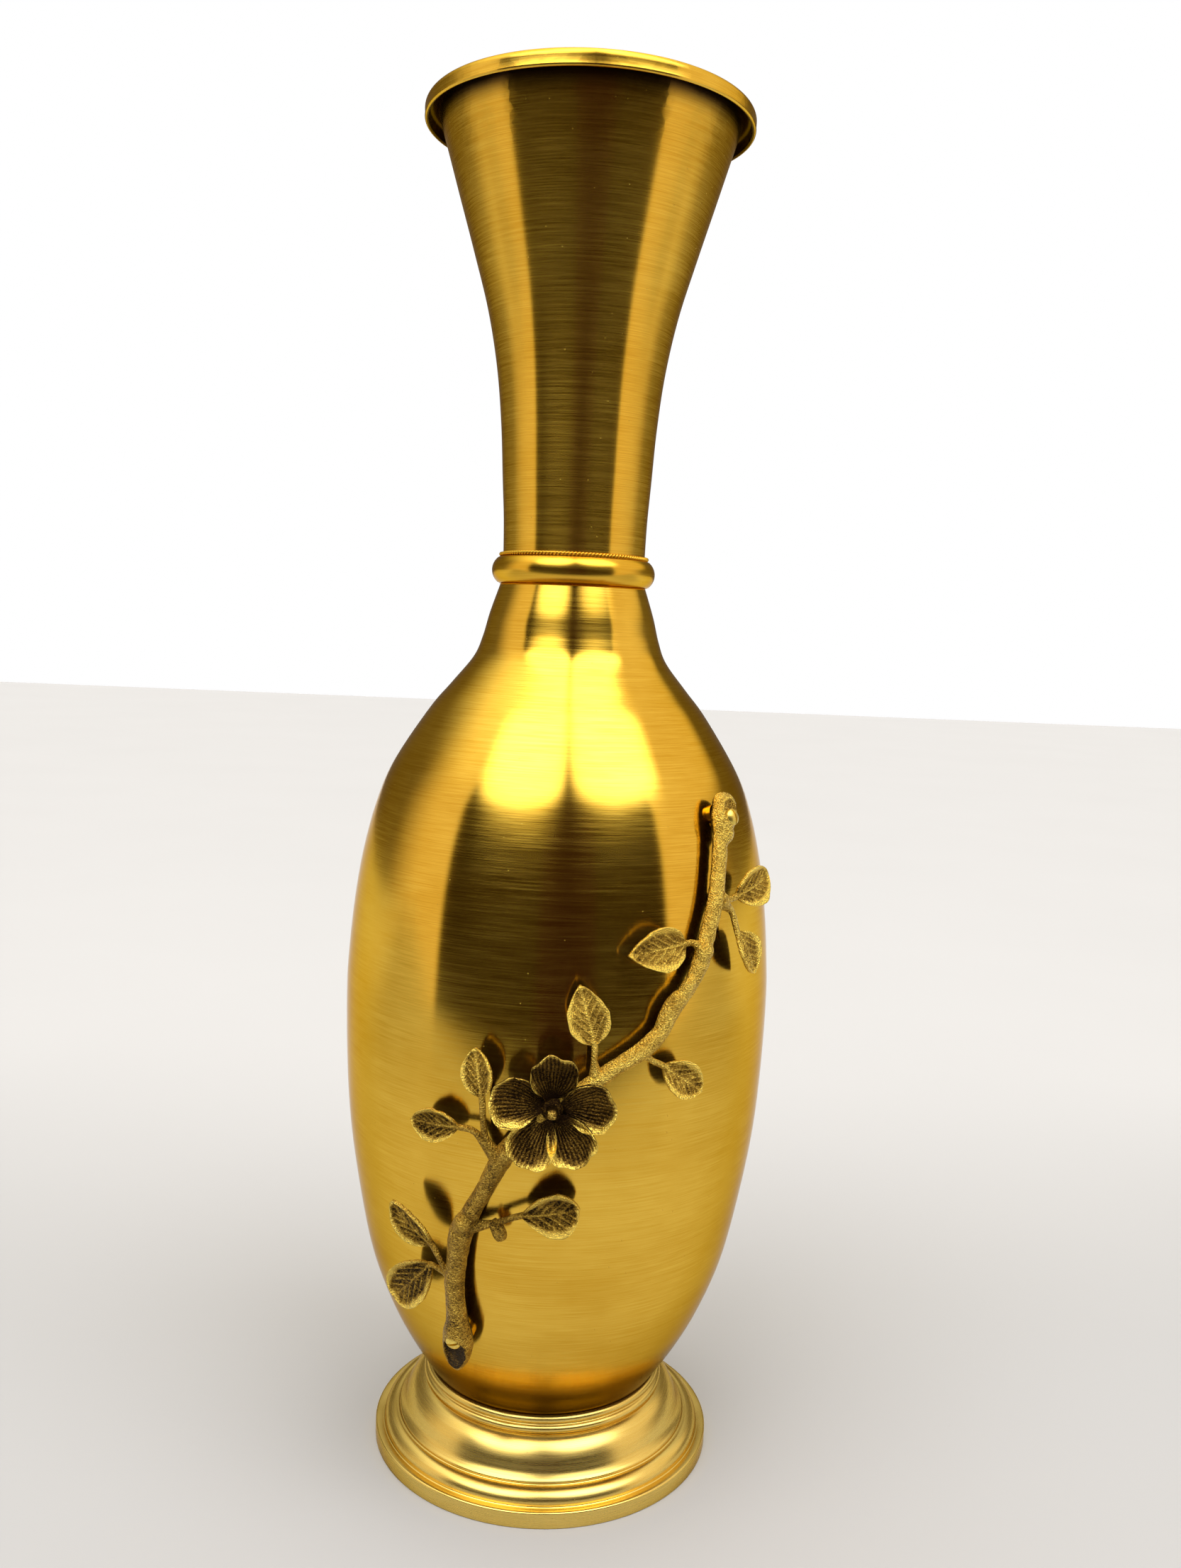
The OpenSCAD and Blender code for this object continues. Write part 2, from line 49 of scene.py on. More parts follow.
LATHE_SIDES = 288

# ---------------------------------------------------------------- sizes from the frame

foot_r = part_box("base_foot")[1].x
seat_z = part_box("base_foot")[1].z
belly_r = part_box("body_shell")[1].x
body_top_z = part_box("body_shell")[1].z
body_h = body_top_z - seat_z
collar_top_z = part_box("collar_ring")[1].z
lip_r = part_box("neck_trumpet")[1].x
top_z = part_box("neck_trumpet")[1].z
spigot_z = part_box("neck_trumpet")[0].z
trim_lo, trim_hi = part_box("trim_wire")

# Sizes that the boxes don't give
belly_z = seat_z + 183 * MM
seat_r = 54 * MM
throat_r = 32.8 * MM
sheet_t = 1.3 * MM
bolt_hole_r = 4.1 * MM
neck_r = 32 * MM
roll_r = 3.5 * MM
skirt_h = 3.2 * MM
hem_r = 0.9 * MM
collar_proud = 4.1 * MM
stem_r = 3.4 * MM
stem_back = 0.85           # how far the flattened back of the stem stands out, 1 where it is round
screw_head_r = 3.5 * MM
screw_head_h = 2.6 * MM
flower_r = 25 * MM
roll_c = (lip_r - roll_r, top_z - roll_r)

# ---------------------------------------------------------------- curves


def catmull(points, steps):
    """The smooth curve through points, with a number of steps between neighbours."""
    points = [Vector(p) for p in points]
    last = len(points) - 1
    out = []
    for i in range(last):
        a, b = points[max(i - 1, 0)], points[i]
        c, d = points[i + 1], points[min(i + 2, last)]
        for k in range(steps):
            t = k / steps
            out.append(0.5 * (2 * b + (c - a) * t + (2 * a - 5 * b + 4 * c - d) * t * t
                              + (3 * b - a - 3 * c + d) * t ** 3))
    out.append(points[last])
    return out


def arc(centre, radius, start, end, steps):
    """Points round a centre in the (radius, height) plane, from one angle to another, in degrees."""
    angles = [math.radians(start + (end - start) * k / steps) for k in range(steps + 1)]
    return [Vector((centre[0] + radius * math.cos(a), centre[1] + radius * math.sin(a)))
            for a in angles]


def between(low, high, shares):
    """Shares of the way between two corners, turned into points."""
    return [(low[0] + (high[0] - low[0]) * s, low[1] + (high[1] - low[1]) * t) for s, t in shares]


def shifted(points, distance):
    """The outline moved sideways, to the left of its direction."""
    out = []
    for i, p in enumerate(points):
        d = points[min(i + 1, len(points) - 1)] - points[max(i - 1, 0)]
        d.normalize()
        out.append(p + distance * Vector((-d.y, d.x)))
    return out


def smooth(low, high, x):
    """0 below low, 1 above high and an S-curve between them."""
    t = min(max((x - low) / (high - low), 0), 1)
    return t * t * (3 - 2 * t)


def ridge(x, width):
    """A rounded ridge of the given width at x = 0."""
    return math.exp(-(x / width) ** 2)


def grain(p, size, seed=0):
    """Noise between -1 and 1 whose lumps are about size across."""
    return noise.noise(p / size + Vector((seed, 2.7 * seed, -seed)))


# Outlines as shares of a width and a height, the same as in the CAD source
BODY_LOW = [(0, 0), (0.263, 0.098), (0.477, 0.198), (0.682, 0.3315), (0.829, 0.4975),
            (0.935, 0.665), (0.984, 0.83), (1, 1)]
BODY_HIGH = [(0.988, 0.1), (0.957, 0.22), (0.905, 0.34), (0.82, 0.46), (0.705, 0.56),
             (0.469, 0.69), (0.319, 0.755), (0.172, 0.82), (0.113, 0.87), (0.067, 0.93), (0, 1)]
NECK = [(0, 0), (0.012, 0.09), (0.042, 0.181), (0.085, 0.31), (0.162, 0.438), (0.298, 0.567),
        (0.498, 0.696), (0.711, 0.825), (0.87, 0.922), (1, 1)]
OGEE = [(1, 0), (0.99, 0.06), (0.91, 0.125), (0.8, 0.24), (0.715, 0.39), (0.605, 0.575),
        (0.43, 0.77), (0.21, 0.92), (0, 1)]

body_outline = catmull(between((seat_r, seat_z), (belly_r, belly_z), BODY_LOW)
                       + between((throat_r, belly_z), (belly_r, body_top_z), BODY_HIGH), 8)
neck_outline = catmull(
    between((neck_r, collar_top_z), (roll_c[0] - roll_r + sheet_t, roll_c[1]), NECK), 8)

# ---------------------------------------------------------------- places on the body


def body_r(z):
    """Radius of the body's outside at height z."""
    for a, b in zip(body_outline, body_outline[1:]):
        if a.y <= z <= b.y:
            return a.x + (b.x - a.x) * (z - a.y) / (b.y - a.y)
    return throat_r


def body_slope(z):
    """How fast the body widens with height at z."""
    step = 2 * MM
    return (body_r(z + step) - body_r(z - step)) / (2 * step)


def on_body(angle, share, out=0):
    """A place on the body: angle from the front towards +X, share of its height, mm out of it."""
    z = seat_z + share * body_h
    radius = body_r(z) + out * MM * math.sqrt(1 + body_slope(z) ** 2)
    a = math.radians(angle)
    return Vector((radius * math.sin(a), -radius * math.cos(a), z))


def out_of_body(angle, share):
    """The direction straight out of the body there."""
    a = math.radians(angle)
    return Vector((math.sin(a), -math.cos(a), -body_slope(seat_z + share * body_h))).normalized()


def body_frame(angle, share, out=0):
    """Axes at a place on the body: X to the right, Y up along the surface, Z out of it."""
    z = out_of_body(angle, share)
    x = UP.cross(z).normalized()
    y = z.cross(x)
    axes = Matrix((x, y, z)).transposed().to_4x4()
    axes.translation = on_body(angle, share, out)
    return axes


# ---------------------------------------------------------------- meshes


def new_object(name, data):
    made = bpy.data.objects.new(name, data)
    bpy.context.scene.collection.objects.link(made)
    return made


def new_mesh(name, verts, faces):
    mesh = bpy.data.meshes.new(name)
    mesh.from_pydata([tuple(v) for v in verts], [], faces)
    return mesh


def stand_for(piece, node):
    """Fixes a piece to the body, in place of a CAD node, which it hides."""
    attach(piece, "root")
    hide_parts(node)


def new_piece(name, shape, material, node, values=None, kind="relief"):
    """Makes a smooth piece of (vertices, faces) that stands for a CAD node.

    Its material reads one value a vertex: relief, 0 in hollows and 1 on ridges and low, as painted shade,
    on backs that face the body; or painted shade, 0 on clean metal, which inside the neck's rolled lip
    also stands for dark oxide.
    """
    mesh = new_mesh(name, *shape)
    mesh.polygons.foreach_set("use_smooth", [True] * len(mesh.polygons))
    if values:
        mesh.attributes.new(kind, "FLOAT", "POINT").data.foreach_set("value", values)
    mesh.update()
    mesh.materials.append(material)
    stand_for(new_object(name, mesh), node)


def lathe(outline, sides=LATHE_SIDES):
    """Vertices and faces of a closed outline of (radius, height) turned round the Z axis."""
    count = len(outline)
    verts = []
    for k in range(sides):
        a = 2 * math.pi * k / sides
        verts += [(p[0] * math.cos(a), p[0] * math.sin(a), p[1]) for p in outline]
    faces = []
    for k in range(sides):
        here, there = k * count, (k + 1) % sides * count
        for i in range(count):
            j = (i + 1) % count
            faces.append((here + i, there + i, there + j, here + j))
    return verts, faces


def tube_rings(points, radii, outs, sides, back=1):
    """Rings of a tube along points; outs face away from the body and the back is flattened."""
    rings = []
    last = len(points) - 1
    for i, p in enumerate(points):
        along = (points[min(i + 1, last)] - points[max(i - 1, 0)]).normalized()
        side = along.cross(outs[i]).normalized()
        up = side.cross(along)
        ring = []
        for k in range(sides):
            a = 2 * math.pi * k / sides
            high = math.sin(a) * (back if math.sin(a) < 0 else 1)
            ring.append(p + (math.cos(a) * side + high * up) * radii[i])
        rings.append(ring)
    return rings


def skin(rings, looped=False):
    """Vertices and faces of a tube given as rings of points: looped, or with capped ends."""
    sides, count = len(rings[0]), len(rings)
    verts = [v for ring in rings for v in ring]
    faces = []
    for i in range(count if looped else count - 1):
        here, there = i * sides, (i + 1) % count * sides
        for k in range(sides):
            m = (k + 1) % sides
            faces.append((here + k, there + k, there + m, here + m))
    if looped:
        return verts, faces
    for first in (0, (count - 1) * sides):
        verts.append(sum((verts[first + k] for k in range(sides)), Vector()) / sides)
        hub = len(verts) - 1
        for k in range(sides):
            a, b = first + k, first + (k + 1) % sides
            faces.append((b, a, hub) if first else (a, b, hub))
    return verts, faces


def slab(front, back, rows, cols):
    """Vertices and faces of a closed plate between two grids of points."""
    half = rows * cols
    faces = []
    for i in range(rows - 1):
        for k in range(cols - 1):
            q = i * cols + k
            faces.append((q, q + 1, q + cols + 1, q + cols))
            faces.append((half + q, half + q + cols, half + q + cols + 1, half + q + 1))
    rim = list(range(cols))
    rim += [i * cols + cols - 1 for i in range(1, rows)]
    rim += [(rows - 1) * cols + k for k in range(cols - 2, -1, -1)]
    rim += [i * cols for i in range(rows - 2, 0, -1)]
    for a, b in zip(rim, rim[1:] + rim[:1]):
        faces.append((b, a, half + a, half + b))
    return front + back, faces


def joined(*parts):
    """Several (vertices, faces, relief) sets as one."""
    verts, faces, relief = [], [], []
    for v, f, r in parts:
        start = len(verts)
        verts += v
        faces += [tuple(start + i for i in face) for face in f]
        relief += r
    return verts, faces, relief


# ---------------------------------------------------------------- shader nodes


def feed(tree, socket, value):
    """Links another node's output to a socket, or sets the socket to a constant."""
    if isinstance(value, bpy.types.NodeSocket):
        tree.links.new(value, socket)
    else:
        socket.default_value = value


def add(tree, kind, inputs=None, **settings):
    """Adds a node; inputs gives its sockets a constant, or another node's output."""
    made = tree.nodes.new("ShaderNode" + kind)
    for key, value in settings.items():
        setattr(made, key, value)
    for key, value in (inputs or {}).items():
        feed(tree, made.inputs[key], value)
    return made


def object_place(tree):
    """Where a point is in the object's own space."""
    return add(tree, "TexCoord").outputs["Object"]


def object_noise(tree, scale, detail=2.0, stretch=(1, 1, 1), roughness=0.5):
    """Noise in the object's own space; scale is how many lumps fit in a metre."""
    where = object_place(tree)
    if stretch != (1, 1, 1):
        where = add(tree, "Mapping", {"Vector": where, "Scale": stretch}).outputs["Vector"]
    return add(tree, "TexNoise", {"Vector": where, "Scale": scale, "Detail": detail,
                                  "Roughness": roughness}).outputs["Fac"]


def object_cells(tree, scale):
    """The outputs of a cell pattern; scale is how many cells fit in a metre."""
    return add(tree, "TexVoronoi", {"Vector": object_place(tree), "Scale": scale}).outputs


def vertex_value(tree, name):
    return add(tree, "Attribute", attribute_name=name).outputs["Fac"]


def ramp(tree, factor, stops):
    """A colour ramp with three (position, colour) stops."""
    made = add(tree, "ValToRGB", {"Fac": factor})
    elements = made.color_ramp.elements
    elements.new(0.5)
    for element, (position, colour) in zip(elements, stops):
        element.position = position
        element.color = (*colour, 1)
    return made.outputs["Color"]


def remap(tree, value, low, high, to_low=0.0, to_high=1.0):
    """A value brought from one range to another, in a straight line."""
    return add(tree, "MapRange", {"Value": value, "From Min": low, "From Max": high,
                                  "To Min": to_low, "To Max": to_high}).outputs["Result"]


def soft_step(tree, value, low, high):
    """0 at low, 1 at high and an S-curve between them."""
    made = add(tree, "MapRange", {"Value": value, "From Min": low, "From Max": high},
               interpolation_type="SMOOTHSTEP")
    return made.outputs["Result"]


def mix_colours(tree, factor, a, b, how="MIX"):
    """Two colours mixed; each is (red, green, blue) or another node's output."""
    made = add(tree, "Mix", data_type="RGBA", blend_type=how)
    factor_in, a_in, b_in, colour_out = 0, 6, 7, 2
    feed(tree, made.inputs[factor_in], factor)
    for index, colour in ((a_in, a), (b_in, b)):
        feed(tree, made.inputs[index], (*colour, 1) if isinstance(colour, tuple) else colour)
    return made.outputs[colour_out]


def math_node(tree, how, a, b=0.0, c=0.0):
    """One sum; a, b and c are constants or outputs."""
    return add(tree, "Math", {0: a, 1: b, 2: c}, operation=how).outputs[0]


def product(tree, a, b):
    return math_node(tree, "MULTIPLY", a, b)


def distance_from_zero(tree, value):
    return math_node(tree, "ABSOLUTE", value)


def start_material(name, metallic=1.0, constants=None):
    """A material, its nodes and its shader, whose constant sockets are set."""
    material = bpy.data.materials.new(name)
    material.use_nodes = True
    tree = material.node_tree
    shader = tree.nodes["Principled BSDF"]
    shader.inputs["Metallic"].default_value = metallic
    for key, value in (constants or {}).items():
        shader.inputs[key].default_value = value
    return material, tree, shader


def add_bump(tree, shader, height, strength, depth):
    bump = add(tree, "Bump", {"Strength": strength, "Distance": depth, "Height": height})
    tree.links.new(bump.outputs["Normal"], shader.inputs["Normal"])


# ---------------------------------------------------------------- materials

# Painted shade low on the body by the foot and in and under the neck's rolled lip; inside the curl it also
# stands for dark oxide.
PAINTED_SHADE_AND_OXIDE = (0.055, 0.028, 0.011)
IN_A_PIT = (0.20, 0.10, 0.02)
BRUSHED_TINT = (0.72, 0.60, 0.42, 1)      # brushed brass stays yellow where it is seen edge on


def tool_marks(tree):
    """Fine rings that run round the Z axis."""
    return object_noise(tree, 1, 3, (38, 38, 2400), 0.65)


def pits(tree, limit):
    """1 in small round pits and 0 outside them; a lower limit gives more pits."""
    cells = object_cells(tree, 420.0)
    lot = add(tree, "SeparateColor", {0: cells["Color"]}).outputs[0]
    chosen = math_node(tree, "GREATER_THAN", lot, limit)
    return product(tree, remap(tree, cells["Distance"], 0.05, 0.12, 1.0, 0.0), chosen)


def spun_colour(tree, marks, spot, pale, deep):
    """Streaky and cloudy brass, darker in pits, with painted shade by the foot and in and under the rolled
    lip, where inside the curl it also stands for dark oxide.
    """
    cloud = object_noise(tree, 14, 4, (1, 1, 1.6), 0.6)
    shade = math_node(tree, "MULTIPLY_ADD", marks, 0.55, product(tree, cloud, 0.45))
    colour = mix_colours(tree, remap(tree, shade, 0.38, 0.62), deep, pale)
    colour = mix_colours(tree, product(tree, spot, 0.5), colour, IN_A_PIT)
    # Painted shade, and dark oxide inside the rolled lip, from a value each vertex carries.
    return mix_colours(tree, vertex_value(tree, "painted_shade_and_oxide"), colour, PAINTED_SHADE_AND_OXIDE)


def spun_roughness(tree, marks, spot, height, roughness):
    """Rougher along some tool marks, in pits and on the neck, which is brushed more coarsely."""
    rough = remap(tree, marks, 0.3, 0.7, roughness - 0.03, roughness + 0.04)
    on_neck = soft_step(tree, height, collar_top_z - MM, collar_top_z)
    rough = math_node(tree, "MULTIPLY_ADD", on_neck, 0.075, rough)
    return math_node(tree, "MULTIPLY_ADD", spot, 0.25, rough)


def spun_relief(tree, marks, spot, height):
    """Tool marks, pits, and close under the lip the chatter marks of the tool."""
    wide_rings = object_noise(tree, 1, 2, (7, 7, 700), 0.5)
    relief = math_node(tree, "MULTIPLY_ADD", wide_rings, 0.2, marks)
    relief = math_node(tree, "SUBTRACT", relief, spot)
    chatter = object_cells(tree, 240.0)["Distance"]
    by_lip = soft_step(tree, height, top_z - 38 * MM, top_z - 16 * MM)
    return math_node(tree, "MULTIPLY_ADD", product(tree, chatter, by_lip), 9.0, relief)


def spun_metal(name, pale, deep, roughness, anisotropic, bump_strength, pit_limit):
    """Turned sheet metal: fine rings left by the tool, cloudy colour and tiny pits."""
    material, tree, shader = start_material(name, constants={
        "Anisotropic": anisotropic, "Anisotropic Rotation": 0.25, "Specular Tint": BRUSHED_TINT})
    tangent = add(tree, "Tangent", direction_type="RADIAL", axis="Z").outputs["Tangent"]
    tree.links.new(tangent, shader.inputs["Tangent"])
    marks = tool_marks(tree)
    spot = pits(tree, pit_limit)
    height = add(tree, "SeparateXYZ", {0: object_place(tree)}).outputs[2]
    tree.links.new(spun_colour(tree, marks, spot, pale, deep), shader.inputs["Base Color"])
    tree.links.new(spun_roughness(tree, marks, spot, height, roughness), shader.inputs["Roughness"])
    add_bump(tree, shader, spun_relief(tree, marks, spot, height), bump_strength, 0.02 * MM)
    return material


def cast_metal(name, hollow, body, crest, roughness, bump_strength):
    """Sand-cast brass: granular skin, dark patina in the hollows, rubbed bright on the ridges, and painted
    shade on backs that face the body.
    """
    material, tree, shader = start_material(name)
    sand = object_noise(tree, 1350, 3, (1, 1, 1.4), 0.62)
    patch = object_noise(tree, 120, 3)
    tone = math_node(tree, "ADD", remap(tree, sand, 0.36, 0.64, -0.2, 0.2), vertex_value(tree, "relief"))
    tone = math_node(tree, "ADD", remap(tree, patch, 0.3, 0.7, -0.12, 0.12), tone)
    colour = ramp(tree, tone, [(0.03, hollow), (0.4, body), (0.9, crest)])
    tree.links.new(colour, shader.inputs["Base Color"])
    rough = remap(tree, tone, 0.1, 0.9, roughness + 0.12, roughness - 0.06)
    tree.links.new(rough, shader.inputs["Roughness"])
    grains = product(tree, object_cells(tree, 1500.0)["Distance"], -0.8)
    add_bump(tree, shader, math_node(tree, "MULTIPLY_ADD", sand, 1.6, grains), bump_strength, 0.55 * MM)
    return material


def plain_metal(name, colour, roughness, scale):
    """Bare metal with fine scratches and slightly uneven gloss."""
    material, tree, shader = start_material(name)
    marks = object_noise(tree, scale, 5, (1, 1, 3), 0.65)
    dull = tuple(0.72 * c for c in colour)
    tree.links.new(mix_colours(tree, remap(tree, marks, 0.3, 0.7), dull, colour),
                   shader.inputs["Base Color"])
    tree.links.new(remap(tree, marks, 0.3, 0.7, roughness + 0.1, roughness),
                   shader.inputs["Roughness"])
    add_bump(tree, shader, marks, 0.25, 0.05 * MM)
    return material


def soft_material(name, colour, other, scale, bump_depth):
    """Felt or rubber: no metal, with fibres or a fine grain."""
    material, tree, shader = start_material(name, metallic=0.0, constants={"Roughness": 0.9})
    fibres = object_noise(tree, scale, 6, roughness=0.7)
    tree.links.new(mix_colours(tree, fibres, colour, other), shader.inputs["Base Color"])
    add_bump(tree, shader, fibres, 0.6, bump_depth)
    return material


spun_brass = spun_metal("spun_brass", pale=(0.88, 0.57, 0.08), deep=(0.70, 0.40, 0.035),
                        roughness=0.145, anisotropic=0.92, bump_strength=0.3, pit_limit=0.93)
foot_brass = spun_metal("foot_brass", pale=(0.85, 0.63, 0.18), deep=(0.76, 0.54, 0.13),
                        roughness=0.27, anisotropic=0.25, bump_strength=0.1, pit_limit=0.8)
turned_brass = spun_metal("turned_brass", pale=(0.84, 0.52, 0.06), deep=(0.72, 0.40, 0.03),
                          roughness=0.22, anisotropic=0.7, bump_strength=0.3, pit_limit=0.9)
branch_brass = cast_metal("branch_brass", hollow=(0.022, 0.012, 0.005), body=(0.42, 0.25, 0.036),
                          crest=(1.0, 0.74, 0.14), roughness=0.26, bump_strength=1.0)
flower_brass = cast_metal("flower_brass", hollow=(0.020, 0.010, 0.004), body=(0.26, 0.145, 0.024),
                          crest=(1.0, 0.74, 0.14), roughness=0.22, bump_strength=0.6)
screw_brass = plain_metal("screw_brass", (0.98, 0.74, 0.16), roughness=0.32, scale=900)
zinc_steel = plain_metal("zinc_steel", (0.62, 0.62, 0.60), roughness=0.32, scale=600)
rubber = soft_material("rubber", (0.02, 0.02, 0.02), (0.05, 0.05, 0.05), scale=900,
                       bump_depth=0.05 * MM)
felt = soft_material("felt", (0.03, 0.028, 0.022), (0.09, 0.08, 0.07), scale=1400,
                     bump_depth=0.4 * MM)

# ---------------------------------------------------------------- foot, body, collar and neck


def make_foot():
    """From the table up: a plain band, a quarter-round bead, an S-curve and two seat beads."""
    plinth_h = 7.4 * MM
    groove = 0.4 * MM
    bead_r = 5.6 * MM
    ledge_w = 4.2 * MM
    edge_r = 0.8 * MM
    ogee_step = 1.4 * MM         # from the middle of the bead inwards to the S-curve
    ogee_out = 2.4 * MM          # the S-curve's upper end, out of the seat
    undercut_out = 1.7 * MM
    undercut_h = 0.25 * MM
    seat_bead_r = 1.95 * MM
    seat_bead_out = 3 * MM
    wall = 3.2 * MM
    web_z = seat_z - 4 * MM
    bead_c = (foot_r - ledge_w - bead_r, plinth_h + groove)
    bead_out = bead_c[0] + bead_r
    ogee_low = (bead_c[0] - ogee_step, bead_c[1] + bead_r)
    ogee_high = (seat_r + ogee_out, seat_z - 4 * seat_bead_r)
    ogee = catmull(between((ogee_high[0], ogee_low[1]), (ogee_low[0], ogee_high[1]), OGEE), 6)
    outside = [(foot_r - edge_r, 0), (foot_r - 0.3 * edge_r, 0.1 * edge_r), (foot_r, 0.5 * edge_r)]
    outside += arc((foot_r - edge_r, plinth_h - edge_r), edge_r, 0, 90, 6)
    outside += [(bead_out + 2 * groove, plinth_h - groove / 8), (bead_out + groove / 4, plinth_h - groove)]
    outside += arc(bead_c, bead_r, 0, 88, 16)
    outside += [(ogee_low[0] + 1.5 * groove, ogee_low[1] - groove)]
    outside += ogee
    outside += [(seat_r + undercut_out, ogee_high[1] - undercut_h)]
    outside += arc((seat_r + seat_bead_out - seat_bead_r, ogee_high[1] + seat_bead_r), seat_bead_r,
                   -75, 75, 10)
    outside += arc((seat_r, seat_z - seat_bead_r), seat_bead_r, -60, 90, 10)
    inside = [(bolt_hole_r, seat_z), (bolt_hole_r, web_z), (seat_r - wall, web_z)]
    inside += [(p.x - wall, p.y) for p in reversed(ogee) if p.y < web_z - MM]
    inside += [(foot_r - wall, plinth_h - wall), (foot_r - wall, 0)]
    new_piece("foot", lathe(outside + inside), foot_brass, "base_foot")


def make_body():
    """The ovoid shell, with painted shade where it comes down to the foot, in place of the foot's dark
    reflection.
    """
    darkest = 0.96
    dark_z, unshaded_z = seat_z + 9 * MM, seat_z + 33 * MM
    outline = [(bolt_hole_r, seat_z)] + body_outline
    outline += [(p.x, p.y) for p in reversed(shifted(body_outline, sheet_t))][:-1]
    outline += [(seat_r - 2 * sheet_t, seat_z + sheet_t), (bolt_hole_r, seat_z + sheet_t)]
    verts, faces = lathe(outline)
    # Painted shade: the base colour darkens towards the foot.
    painted_shade_and_oxide = [darkest * (1 - smooth(dark_z, unshaded_z, v[2])) for v in verts]
    new_piece("body", (verts, faces), spun_brass, "body_shell", painted_shade_and_oxide, "painted_shade_and_oxide")


def shade_and_oxide_in_roll(p):
    """Painted shade at a point of the neck's outline: dark in the hollow of the rolled lip, on the neck
    just under it and just inside the mouth. Inside the curl it also stands for dark oxide.
    """
    crown = 1.1 * MM
    if p[0] >= lip_r - hem_r or p[1] >= roll_c[1] + roll_r - crown:
        return 0.0
    return smooth(-2 * MM, 0.5 * MM, p[0] - roll_c[0] + roll_r)


def make_neck():
    """The trumpet, from its spigot in the body to a lip rolled outwards and down to a hem."""
    spigot_r = throat_r - sheet_t - 0.1 * MM
    hem_c = (lip_r - hem_r, roll_c[1] - skirt_h)
    outline = [(spigot_r - sheet_t, spigot_z), (spigot_r, spigot_z), (spigot_r, collar_top_z)]
    outline += neck_outline
    outline += arc(roll_c, roll_r - sheet_t, 170, 0, 16)
    outline += arc(hem_c, hem_r, 150, 390, 14)
    outline += arc(roll_c, roll_r, 0, 180, 24)
    outline += reversed([p for p in shifted(neck_outline, sheet_t) if p.y < roll_c[1] - MM])
    # Painted shade in and under the rolled lip and just inside the mouth, with dark oxide inside the curl.
    painted_shade_and_oxide = [shade_and_oxide_in_roll(p) for p in outline] * LATHE_SIDES
    new_piece("neck", lathe(outline), spun_brass, "neck_trumpet", painted_shade_and_oxide, "painted_shade_and_oxide")


def make_collar():
    """The ring at the joint, with a shallow round face and softened edges."""
    height = collar_top_z - body_top_z
    edge = 0.5 * MM
    face_h = 0.8 * collar_proud
    face_r = (height * height / 4 + face_h * face_h) / (2 * face_h)
    swing = math.degrees(math.asin((height / 2 - edge) / face_r))
    centre = (throat_r + collar_proud - face_r, body_top_z + height / 2)
    inner = throat_r - sheet_t
    outer = centre[0] + face_r * math.cos(math.radians(swing)) - 2 * edge
    outline = [(inner, body_top_z + edge), (inner + edge, body_top_z), (outer, body_top_z)]
    outline += arc(centre, face_r, -swing, swing, 24)
    outline += [(outer, collar_top_z), (inner + edge, collar_top_z), (inner, collar_top_z - edge)]
    new_piece("collar", lathe(outline), turned_brass, "collar_ring")


def make_strand(start, core_z, wire_r, ring_r):
    """One of the two strands of the trim wire, which begins at an angle round the wire's middle."""
    sides = 8
    twists = 64
    steps = 12 * twists
    strand_r = 0.5 * wire_r
    points, outs = [], []
    for k in range(steps + 1):
        a = 2 * math.pi * (k % steps) / steps
        t = start + twists * a
        radius = ring_r + (wire_r - strand_r) * math.cos(t)
        outs.append(Vector((math.cos(a), math.sin(a), 0)))
        points.append(Vector((radius * math.cos(a), radius * math.sin(a),
                              core_z + (wire_r - strand_r) * math.sin(t))))
    rings = tube_rings(points, [strand_r] * (steps + 1), outs, sides)
    return skin(rings[:-1], looped=True)


def make_trim():
    """Two strands of wire twisted round each other and laid round the foot of the neck."""
    core_z = (trim_lo.z + trim_hi.z) / 2
    wire_r = (trim_hi.z - trim_lo.z) / 2
    ring_r = trim_hi.x - wire_r
    strands = [(*make_strand(start, core_z, wire_r, ring_r), []) for start in (0, math.pi)]
    verts, faces, _ = joined(*strands)
    new_piece("trim", (verts, faces), turned_brass, "trim_wire")


make_foot()
make_body()
make_neck()
make_collar()
make_trim()

# ---------------------------------------------------------------- branch

# Places of the two screws and the flower: angle, share of the body's height, mm out of the body
UPPER = (48, 0.743, 9.4)
LOWER = (-24.5, 0.135, 10.4)
FLOWER = (-0.1, 0.434, 7.4)

